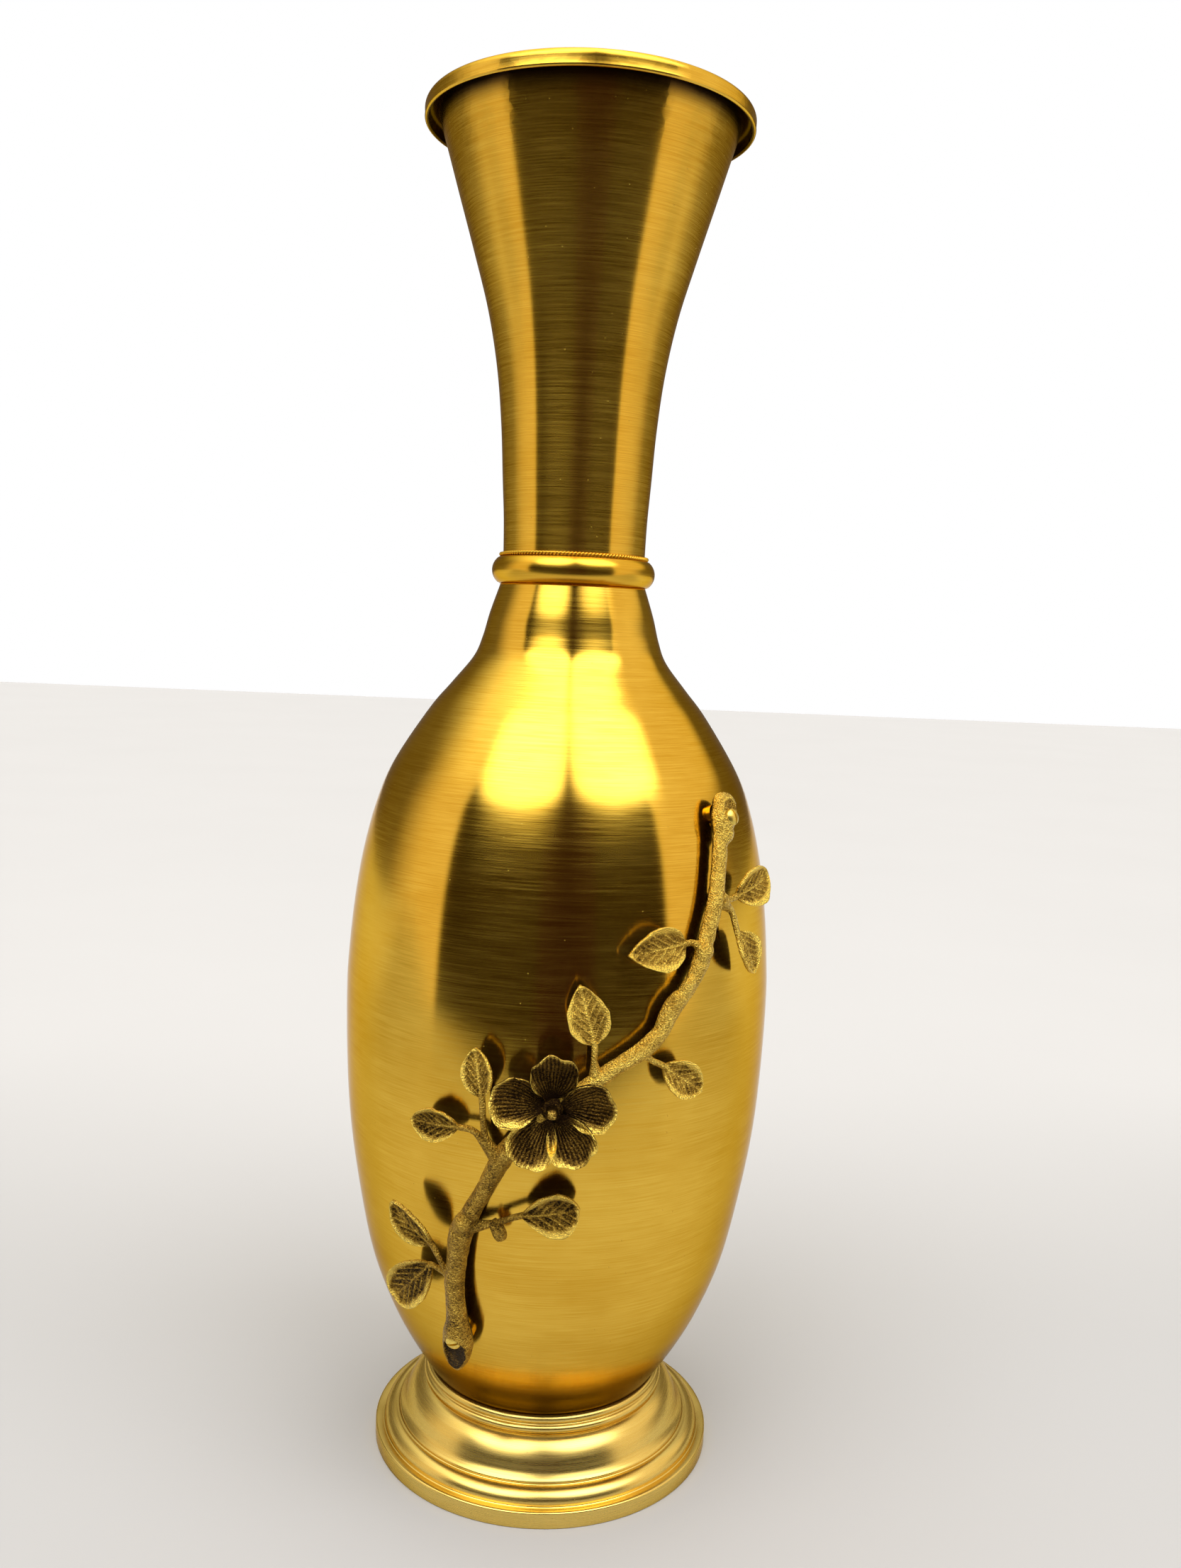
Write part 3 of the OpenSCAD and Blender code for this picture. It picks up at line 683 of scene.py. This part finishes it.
# Route of the stem from its upper end: angle, share, mm between its back and the body,
# radius as a share of stem_r
STEM = [
    (50.4, 0.764, 2.5, 1), (49.5, 0.758, 1.3, 1.47), (48, 0.743, 0.7, 1.71),
    (46.5, 0.727, 1.2, 1.41), (45, 0.712, 1.9, 1.03), (43.5, 0.691, 2, 0.97),
    (42.3, 0.672, 1.9, 1), (41, 0.652, 1.7, 1.06), (38.8, 0.628, 1.9, 1), (37.2, 0.61, 1.8, 1.06),
    (36, 0.594, 1.4, 1.24), (34.2, 0.577, 2, 1.03), (31.5, 0.559, 2.2, 0.97),
    (28.6, 0.547, 1.7, 1.15), (26.3, 0.533, 1.7, 1.15), (24.6, 0.516, 2.1, 1),
    (21.6, 0.501, 1.8, 1.09), (18.5, 0.491, 1.9, 1.06), (14.5, 0.48, 2.2, 0.97),
    (10.2, 0.466, 1.9, 1.06), (5.5, 0.45, 2.1, 1), (-0.1, 0.434, 1.9, 1.06),
    (-6.5, 0.402, 1.9, 1.06), (-10.6, 0.376, 1.1, 1.35), (-13.2, 0.352, 1.6, 1.18),
    (-15.8, 0.327, 1.8, 1.09), (-18.6, 0.303, 1.6, 1.18), (-21, 0.281, 0.6, 1.53),
    (-22.4, 0.258, 1, 1.41), (-23.2, 0.235, 1.6, 1.26), (-24.1, 0.209, 1.9, 1.26),
    (-24.2, 0.184, 2.2, 1.24), (-24.1, 0.162, 2.1, 1.38), (-24.4, 0.146, 1.3, 1.76),
    (-24.8, 0.126, 1.2, 1.94), (-25.8, 0.104, 3, 1.47), (-26.8, 0.086, 6.2, 0.41),
]

# Leaves from the top of the branch: three places of the stalk, the tip, the blade's width in mm,
# mm it bows out, where along the blade it is widest, how round its outline is (less is rounder)
LEAVES = [
    ([(42.5, 0.655, 5), (45.8, 0.651, 5.2), (48.8, 0.653, 5.5)], (60.5, 0.672, 10), 17, 1.5, 0.5, 0.6),
    ([(42.8, 0.65, 4.8), (46.5, 0.637, 5.2), (48, 0.613, 5.8)], (54, 0.562, 6.5), 14, 1.5, 0.45, 0.75),
    ([(36.3, 0.6, 5), (33.2, 0.609, 5.4), (30.6, 0.61, 6)], (15.6, 0.602, 8.5), 18, 1, 0.42, 0.8),
    ([(9.6, 0.467, 5), (8.8, 0.486, 6), (8.7, 0.505, 6.5)], (4.9, 0.571, 8), 17, 1, 0.45, 0.75),
    ([(19.5, 0.495, 5), (22, 0.485, 5.6), (25.1, 0.477, 6)], (35, 0.443, 8), 15, 1, 0.5, 0.7),
    ([(-11.6, 0.372, 5), (-15, 0.395, 6), (-15.8, 0.44, 7)], (-17.3, 0.496, 8), 13, 1, 0.5, 0.65),
    ([(-12.2, 0.37, 5), (-17.3, 0.398, 6), (-21.5, 0.401, 6)], (-33.5, 0.4, 7.5), 14, 1, 0.5, 0.7),
    ([(-20.4, 0.281, 5), (-13, 0.293, 5.6), (-6.5, 0.306, 6)], (7.1, 0.318, 8), 20, 1, 0.62, 0.6),
    ([(-23.6, 0.217, 5.4), (-26.5, 0.226, 6.4), (-28.9, 0.253, 8)], (-39, 0.297, 11), 15, 1, 0.5, 0.7),
    ([(-23.6, 0.213, 5.4), (-27.5, 0.22, 5.8), (-30.9, 0.223, 6)], (-43, 0.167, 10), 19, 1, 0.55, 0.5),
]
# Where side shoots were cut off the stem: angle, share, mm out of the body
KNOTS = [(35.6, 0.6, 7.5), (30.4, 0.567, 8), (-9.3, 0.379, 8), (-20.6, 0.289, 7.5), (47, 0.722, 6)]
# Route of the bud: angle, share, mm out of the body, radius in mm
BUD = [(-13.5, 0.295, 5.2, 2), (-12.2, 0.288, 5.6, 2.8), (-11.4, 0.28, 5.8, 2.9),
       (-11.1, 0.275, 5.9, 2.2)]


def cast_skin(p, coarse, fine):
    """How far the granular skin of a casting stands out at p, and its relief from 0 to 1.

    The skin is coarser above the flower than below it, and its relief is higher there, so it is coloured
    lighter.
    """
    above = smooth(seat_z + 0.40 * body_h, seat_z + 0.47 * body_h, p.z)
    lumps = grain(p, 4 * MM, 3)
    sand = grain(Vector((p.x, p.y, 1.6 * p.z)), 1.1 * MM, 7)
    stand = coarse * lumps + fine * (1 + 1.2 * above) * sand
    return stand, 0.36 + 0.26 * above + 0.2 * sand + 0.1 * lumps


def cast_rings(rings, middles, coarse, fine, back_shade=1.2, swelling=None):
    """Gives the rings of a tube a cast skin in place, and returns their relief, with painted shade on the
    back that faces the body.
    """
    relief = []
    for ring, middle in zip(rings, middles):
        for k, v in enumerate(ring):
            stand, tone = cast_skin(v, coarse, fine)
            if swelling:
                stand += swelling(v)
            ring[k] = v + (v - middle).normalized() * stand
            # Painted shade on the back of the tube, which faces the body.
            behind = smooth(0.1, 0.7, -math.sin(2 * math.pi * k / len(ring)))
            relief.append(tone - back_shade * behind)
    return relief


def seat_for_screw(verts, relief, place, end_below):
    """Files the surface round a screw flat, down to the head's seat.

    With end_below it files on to the stem's end below the screw; else it stops all round it.
    """
    back = body_frame(place[0], place[1])
    away = back.inverted()
    seat = (place[2] + 0.1) * MM
    reach = screw_head_r + (0.5 if end_below else 0.15) * MM
    fade = 1.2 * MM
    seat_darkening = 0.42 if end_below else 0.2
    for i, v in enumerate(verts):
        p = away @ v
        if p.z < seat:
            continue
        down = max(p.y, 0) if end_below else p.y
        share = smooth(reach, reach + fade, math.hypot(p.x, down))
        p.z = seat + (p.z - seat) * share
        verts[i] = back @ p
        # The seat round and under the head is coloured darker.
        relief[i] -= seat_darkening * (1 - share)


def make_stem():
    """The stem lies along the body, with knots, and is wider where the screws go through."""
    knots = [on_body(*knot) for knot in KNOTS]

    def knot_swelling(v):
        """A bump at each knot, with a shallow dip round it."""
        near = min((v - knot).length for knot in knots)
        return 1.7 * MM * ridge(near, 2.8 * MM) - 0.5 * MM * ridge(near - 5 * MM, 1.2 * MM)

    route = catmull(STEM, 30)
    radii = [p[3] * stem_r for p in route]
    points = [on_body(p[0], p[1], p[2] + stem_back * p[3] * stem_r / MM) for p in route]
    outs = [out_of_body(p[0], p[1]) for p in route]
    rings = tube_rings(points, radii, outs, 60, stem_back)
    relief = cast_rings(rings, points, 0.25 * MM, 0.07 * MM, swelling=knot_swelling)
    relief += [0.5, 0.5]
    verts, faces = skin(rings)
    seat_for_screw(verts, relief, UPPER, end_below=False)
    seat_for_screw(verts, relief, LOWER, end_below=True)
    new_piece("stem", (verts, faces), branch_brass, "branch_stem", relief)


def leaf_pattern(u, v, away, half_width, uneven):
    """How much a point is on a leaf's rim, on its midrib and on a side vein, from 0 to 1 each.

    u goes from the stalk to the tip and v from edge to edge; away is the distance from the midrib.
    """
    veins = 6
    rim = smooth(0.62, 0.88, abs(v) + 0.1 * uneven) * smooth(0.02, 0.14, u)
    rim = max(rim, smooth(0.9, 0.97, u))
    middle = ridge(away, 0.6 * MM) * (1 - 0.6 * u)
    phase = veins * (u - 0.5 * away / half_width) + 0.45 * (v > 0) + 0.12 * uneven
    vein = max(0, math.cos(2 * math.pi * phase)) ** 1.5 * smooth(0.3 * MM, 1.2 * MM, away)
    return rim, middle, vein


def make_blade(number, base, tip, normal, width, bow, widest, roundness):
    """A cupped leaf with a thick uneven rim, a midrib and slanting side veins."""
    rows, cols = 80, 49
    thickness = 1.5 * MM
    cupping = 0.26
    half_width = width * MM / 2
    along = (tip - base).normalized()
    side = along.cross(normal).normalized()
    face = side.cross(along)
    skew = math.log(0.5) / math.log(widest)
    front, back, relief, painted_back_shade = [], [], [], []
    for i in range(rows):
        u = i / (rows - 1)
        half = max(0.04, math.sin(math.pi * u ** skew) ** roundness) * half_width
        for k in range(cols):
            v = 2 * k / (cols - 1) - 1
            spine = base + along * u * 20 * MM
            uneven = grain(spine + side * v * 8 * MM, 4 * MM, number)
            half_here = half * (1 + 0.07 * grain(spine, 3 * MM, number + v))
            bend = bow * MM * math.sin(math.pi * u) + cupping * half * v * v
            p = base + (tip - base) * u + side * v * half_here + face * bend
            rim, middle, vein = leaf_pattern(u, v, abs(v) * half, half_width, uneven)
            stand, tone = cast_skin(p, 0.08 * MM, 0.04 * MM)
            crest = max(rim, middle, 0.6 * vein)
            lift = MM * (0.75 * rim * (1 + 0.3 * uneven) + 0.55 * middle + 0.42 * vein * (1 - rim))
            front.append(p + face * (thickness / 2 + lift + stand - 0.45 * MM))
            relief.append(tone - 0.22 + 0.45 * crest + 0.25 * rim + 0.08 * uneven)
            edge = max(smooth(0.85, 1, abs(v)), smooth(0.93, 1, u))
            back.append(p - face * thickness / 2 * (1 + 0.2 * edge))
            # Painted shade on the leaf's back, which faces the body, paler towards the rim.
            painted_back_shade.append(-0.6 + 1.2 * edge)
    verts, faces = slab(front, back, rows, cols)
    return verts, faces, relief + painted_back_shade


def make_stalk(twig, base, along):
    """The stalk, wide where it leaves the stem and thin at the blade."""
    path = catmull([on_body(*t) for t in twig] + [base + along * 4 * MM], 12)
    last = len(path) - 1
    outs, radii = [], []
    for i in range(last + 1):
        t = i / last
        outs.append(out_of_body(*twig[min(int(t * len(twig)), len(twig) - 1)][:2]))
        radii.append((1.3 + 1.9 * (1 - smooth(0, 0.38, t)) - 0.5 * smooth(0.75, 1, t)) * MM)
    rings = tube_rings(path, radii, outs, 24)
    relief = cast_rings(rings, path, 0.12 * MM, 0.05 * MM)
    verts, faces = skin(rings)
    return verts, faces, relief + [0.3, 0.3]


def make_leaf(number, twig, tip_place, width, bow, widest, roundness):
    """A leaf: its blade and the stalk that holds it off the body."""
    base, tip = on_body(*twig[-1]), on_body(*tip_place)
    normal = out_of_body(*tip_place[:2])
    blade = make_blade(number, base, tip, normal, width, bow, widest, roundness)
    stalk = make_stalk(twig, base, (tip - base).normalized())
    verts, faces, relief = joined(blade, stalk)
    new_piece("blade_%d" % number, (verts, faces), branch_brass,
              "leaf_%d" % number, relief)


def make_bud():
    """The stub of a cut twig."""
    route = catmull(BUD, 8)
    points = [on_body(p[0], p[1], p[2]) for p in route]
    outs = [out_of_body(p[0], p[1]) for p in route]
    rings = tube_rings(points, [p[3] * MM for p in route], outs, 20)
    relief = cast_rings(rings, points, 0.1 * MM, 0.08 * MM, back_shade=0) + [0.5, 0.5]
    new_piece("twig_stub", skin(rings), branch_brass, "bud", relief)


def screw_blank(name, out):
    """A domed head and its shank, before the slot is cut; out is mm from the body to the head."""
    edge_z = 0.7 * MM
    shank_r = 2 * MM
    shank_end = -(out + 4) * MM
    steps = 14
    rows = []
    for k in range(steps + 1):
        a = math.radians(1 + 89 * k / steps)
        rows.append((screw_head_r * math.sin(a), edge_z + (screw_head_h - edge_z) * math.cos(a)))
    rows += [(screw_head_r, 0), (shank_r, 0), (shank_r, shank_end), (0.01 * shank_r, shank_end)]
    return new_object(name, new_mesh(name, *lathe(list(reversed(rows)), 64)))


def slot_cutter(name):
    """A bar along X that cuts the slot out of the top of the head."""
    half = (screw_head_r * 1.2, 0.5 * MM, 1.3 * MM)
    corners = [(x * half[0], y * half[1], screw_head_h + z * half[2])
               for x in (-1, 1) for y in (-1, 1) for z in (-1, 1)]
    faces = [(0, 1, 3, 2), (4, 6, 7, 5), (0, 4, 5, 1), (2, 3, 7, 6), (0, 2, 6, 4), (1, 5, 7, 3)]
    return new_object(name, new_mesh(name, corners, faces))


def make_screw(name, place, turn, node):
    """A round-head screw with a cut slot, turned by some degrees about its axis."""
    blank = screw_blank(name + "_blank", place[2])
    cutter = slot_cutter(name + "_slot")
    cut = blank.modifiers.new("slot", "BOOLEAN")
    cut.object = cutter
    cut.solver = "EXACT"
    soften = blank.modifiers.new("edges", "BEVEL")
    soften.width = 0.09 * MM
    soften.segments = 2
    soften.angle_limit = math.radians(35)
    bpy.context.view_layer.update()
    made = bpy.data.meshes.new_from_object(blank.evaluated_get(bpy.context.evaluated_depsgraph_get()))
    bpy.data.objects.remove(cutter)
    bpy.data.objects.remove(blank)
    made.transform(body_frame(*place) @ Matrix.Rotation(math.radians(turn), 4, "Z"))
    made.polygons.foreach_set("use_smooth", [True] * len(made.polygons))
    made.set_sharp_from_angle(angle=math.radians(40))
    made.materials.clear()
    made.materials.append(screw_brass)
    stand_for(new_object(name, made), node)


make_stem()
for number, leaf in enumerate(LEAVES, 1):
    make_leaf(number, *leaf)
make_bud()
make_screw("screw_top", UPPER, 98, "upper_screw")
make_screw("screw_bottom", LOWER, 18, "lower_screw")

# ---------------------------------------------------------------- flower

# Each petal: its direction in degrees, its reach as a share of flower_r, and how far its two
# sides curl
PETALS = [(88, 0.96, 0.2, 0.3), (165, 1.02, 0.3, 0.9), (240, 1.0, 0.9, 0.6), (303, 0.98, 0.8, 0.5),
          (10, 1.02, 0.8, 0.2)]


def petal_outline(v, number, reach):
    """How far a petal reaches from the flower's middle, at v from one side (-1) to the other (1)."""
    rim = flower_r * reach * (0.74 + 0.25 * math.sqrt(max(math.cos(math.pi / 2 * v), 0)))
    return rim * (1 + 0.06 * grain(Vector((v * 12 * MM, 0, 0)), 5 * MM, 3 * number))


def make_petal(number, direction, reach, curl_right, curl_left):
    """A cupped petal with fine radial lines, whose curled edges were rubbed bright."""
    rows, cols = 72, 81
    inner = 0.12 * flower_r
    half_angle = 42
    thickness = 1.1 * MM
    front, back, relief = [], [], []
    for i in range(rows):
        u = i / (rows - 1)
        for k in range(cols):
            v = 2 * k / (cols - 1) - 1
            bulge = 0.72 + 0.28 * math.sin(math.pi * u)
            spread = math.radians(direction + half_angle * v * bulge)
            uneven = grain(Vector((u * 14 * MM, v * 12 * MM, number * MM)), 5 * MM, number)
            radius = inner + (petal_outline(v, number, reach) - inner) * u
            curl = curl_right * (v < 0) * -v + curl_left * (v > 0) * v
            edge = max(smooth(0.5, 0.95, abs(v)) * smooth(0.25, 0.7, u), smooth(0.74, 0.97, u))
            fold = edge * (0.35 + curl)
            height = MM * (3.0 * u ** 1.6 + 1.2 * u + 2.4 * fold + 1.5 * uneven * u + 0.7 * v)
            lines = math.sin(v * 50 + 4 * math.sin(2.5 * u + number) + 2.5 * uneven)
            lines *= smooth(0.08, 0.3, u)
            p = Vector((radius * math.cos(spread), radius * math.sin(spread), height))
            stand, _ = cast_skin(p, 0.1 * MM, 0.04 * MM)
            raised = max(smooth(0.9, 0.98, u), smooth(0.9, 0.99, abs(v)) * smooth(0.2, 0.5, u))
            lift = 0.2 * MM * lines * (1 - raised) + 0.35 * MM * raised + stand
            front.append(p + Vector((0, 0, thickness / 2 + lift)))
            back.append(p - Vector((0, 0, thickness / 2)))
            shine = 0.5 * raised + 1.1 * fold * smooth(0.1, 0.6, curl + 0.5 * uneven)
            relief.append(0.02 + 0.13 * (lines + 1) + shine - 0.3 * (1 - smooth(0, 0.5, u)))
    verts, faces = slab(front, back, rows, cols)
    # The petals' backs, which face the body, get painted shade.
    return verts, faces, relief + [-0.5] * len(back)


def make_heart():
    """The dark, uneven boss that the petals meet in."""
    rows = [(0.02, -0.5), (4.6, -0.5), (5, 0.4), (4, 1.3), (2.6, 1.9), (0.02, 2.1)]
    verts, faces = lathe([(r * MM, z * MM) for r, z in rows], 40)
    verts = [Vector(v) * (1 + 0.06 * grain(Vector(v), 2 * MM)) for v in verts]
    return verts, faces, [0.05] * len(verts)


def make_flower():
    """Five petals round a boss."""
    petals = [make_petal(i, *petal) for i, petal in enumerate(PETALS)]
    verts, faces, relief = joined(*petals, make_heart())
    place = body_frame(*FLOWER)
    verts = [place @ v for v in verts]
    new_piece("blossom", (verts, faces), flower_brass, "flower", relief)


def make_flower_pin():
    """The worn, squarish stub in the middle of the flower."""
    sides = 32
    squareness = 0.35
    rows = [(-4, 2.0), (0, 2.4), (3, 2.3), (5.5, 2.15), (6.8, 2.0), (7.3, 1.6), (7.5, 0.9)]
    rings, relief = [], []
    for z, r in rows:
        ring = []
        for k in range(sides):
            a = 2 * math.pi * k / sides
            square = 1 / max(abs(math.cos(a)), abs(math.sin(a))) ** squareness
            p = Vector((r * MM * square * math.cos(a), r * MM * square * math.sin(a), z * MM))
            ring.append(p * (1 + 0.05 * grain(p, 1.5 * MM)))
            relief.append(0.1 + 0.35 * smooth(6, 7.4, z))
        rings.append(ring)
    relief += [0.5, 0.6]
    verts, faces = skin(rings)
    place = body_frame(*FLOWER)
    verts = [place @ v for v in verts]
    new_piece("stub", (verts, faces), flower_brass, "flower_pin", relief)


make_flower()
make_flower_pin()

# ---------------------------------------------------------------- CAD nodes that stay

CAD_MATERIALS = {
    "felt_pad": felt, "foot_bolt": zinc_steel, "foot_nut": zinc_steel, "foot_washer": zinc_steel,
    "seal_washer": rubber, "upper_post": turned_brass, "lower_post": turned_brass,
}
for node_name, material in CAD_MATERIALS.items():
    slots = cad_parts[node_name].data.materials
    slots.clear()
    slots.append(material)

# ---------------------------------------------------------------- floor, light and camera


def make_floor():
    """A pale table with a faint mottle and painted shade: a little darker at the sides and in front round
    the vase, paler behind.
    """
    size = 6
    front = -0.55        # the table ends here, and its edge shows in the brass
    corners = [(-size, front, 0), (size, front, 0), (size, size, 0), (-size, size, 0)]
    mesh = new_mesh("floor", corners, [(0, 1, 2, 3)])
    material, tree, shader = start_material("floor_paper", metallic=0.0, constants={"Roughness": 0.9})
    x, y, _ = add(tree, "SeparateXYZ", {0: object_place(tree)}).outputs
    # Painted shade on the floor: darker at the sides and in front round the vase, paler behind.
    aside = soft_step(tree, distance_from_zero(tree, x), 0.25, 1.0)
    behind = soft_step(tree, y, 0.05, 0.6)
    tone = mix_colours(tree, aside, (0.44, 0.44, 0.44), (0.32, 0.32, 0.31))
    tone = mix_colours(tree, behind, tone, (0.52, 0.52, 0.52))
    mottle = mix_colours(tree, object_noise(tree, 3, 3), (0.96, 0.96, 0.96), (1, 1, 1))
    tree.links.new(mix_colours(tree, 1.0, tone, mottle, "MULTIPLY"), shader.inputs["Base Color"])
    mesh.materials.append(material)
    floor = new_object("floor", mesh)


def tent_directions(tree):
    """Degrees to the right of the front, and degrees above the horizon."""
    x, y, z = add(tree, "SeparateXYZ", {0: add(tree, "TexCoord").outputs["Generated"]}).outputs
    turn = math_node(tree, "ARCTAN2", x, product(tree, y, -1.0))
    rise = math_node(tree, "ARCSINE", z)
    return product(tree, turn, 180 / math.pi), product(tree, rise, 180 / math.pi)


def band(tree, value, low, high, fade):
    """1 between low and high, and 0 where it is more than fade outside them."""
    rising = soft_step(tree, value, low - fade, low)
    falling = soft_step(tree, product(tree, value, -1.0), -high - fade, -high)
    return product(tree, rising, falling)


def glow(tree, turn, rise, azimuth, elevation, half_width, half_height):
    """1 inside an oval part of the tent that is lit from behind, 0 well outside it."""
    squareness = 2.5
    across = math_node(tree, "MULTIPLY_ADD", turn, 1 / half_width, -azimuth / half_width)
    along = math_node(tree, "MULTIPLY_ADD", rise, 1 / half_height, -elevation / half_height)
    powers = [math_node(tree, "POWER", distance_from_zero(tree, part), squareness)
              for part in (across, along)]
    reach = math_node(tree, "ADD", *powers)
    return soft_step(tree, product(tree, reach, -1.0), -1.7, -0.5)


def tent_colour(tree):
    """Pale sides, a bright roof with two lit ovals, a lit patch far right and a dark opening."""
    turn, rise = tent_directions(tree)
    aside = soft_step(tree, distance_from_zero(tree, turn), 84, 118)
    walls = mix_colours(tree, aside, (0.95, 0.80, 0.60), (0.20, 0.17, 0.13))
    roofed = mix_colours(tree, soft_step(tree, rise, 22, 68), walls, (1.9, 1.85, 1.7))
    below_roof = soft_step(tree, product(tree, rise, -1.0), -62, -54)
    opening = product(tree, band(tree, turn, -64, 57, 4), below_roof)
    gloom = mix_colours(tree, band(tree, turn, -8, 16, 6), (0.029, 0.020, 0.008),
                        (0.030, 0.012, 0.012))
    colour = mix_colours(tree, opening, roofed, gloom)
    colour = mix_colours(tree, glow(tree, turn, rise, 106, 42, 32, 24), colour, (1.0, 0.86, 0.66))
    ovals = math_node(tree, "MAXIMUM", glow(tree, turn, rise, -36, 60, 33, 27),
                      glow(tree, turn, rise, 45, 64, 37, 27))
    return mix_colours(tree, ovals, colour, (4.2, 4.15, 4.2))


def make_world():
    """A light tent that lights the vase. The camera itself sees plain white in its place."""
    world = bpy.data.worlds.new("tent")
    bpy.context.scene.world = world
    world.use_nodes = True
    tree = world.node_tree
    tree.nodes.clear()
    lit = add(tree, "Background", {"Color": tent_colour(tree), "Strength": 1.0}).outputs[0]
    seen = add(tree, "Background", {"Color": (1, 1, 1, 1), "Strength": 1.0}).outputs[0]
    camera_ray = add(tree, "LightPath").outputs["Is Camera Ray"]
    mixed = add(tree, "MixShader", {0: camera_ray, 1: lit, 2: seen}).outputs[0]
    tree.links.new(mixed, add(tree, "OutputWorld").inputs["Surface"])


def make_top_light():
    """A soft light right above the vase."""
    light = bpy.data.lights.new("top_light", "AREA")
    light.shape = "DISK"
    light.size = 0.5
    light.energy = 1.5
    lamp = new_object("top_light", light)
    lamp.location = (0, 0, 1.9)
    lamp.visible_camera = False


def make_camera():
    """The camera stands in front, a little above half the vase's height, and looks slightly down."""
    yaw, pitch, roll = 0.0185, -0.1156, 0.0411
    distance, height = 0.6314, 0.3884
    look = Vector((math.sin(yaw) * math.cos(pitch), math.cos(yaw) * math.cos(pitch), math.sin(pitch)))
    right = Vector((math.cos(yaw), -math.sin(yaw), 0))
    above = right.cross(look)
    tilted_right = right * math.cos(roll) + above * math.sin(roll)
    tilted_up = above * math.cos(roll) - right * math.sin(roll)
    camera = bpy.data.cameras.new("camera")
    camera.sensor_width = 36
    camera.lens = 31.57
    camera.clip_start = 0.01
    eye = new_object("camera", camera)
    turned = Matrix((tilted_right, tilted_up, -look)).transposed().to_4x4()
    turned.translation = Vector((0, -distance, height))
    eye.matrix_world = turned
    bpy.context.scene.camera = eye


make_floor()
make_world()
make_top_light()
make_camera()
bpy.context.scene.view_settings.view_transform = "Standard"
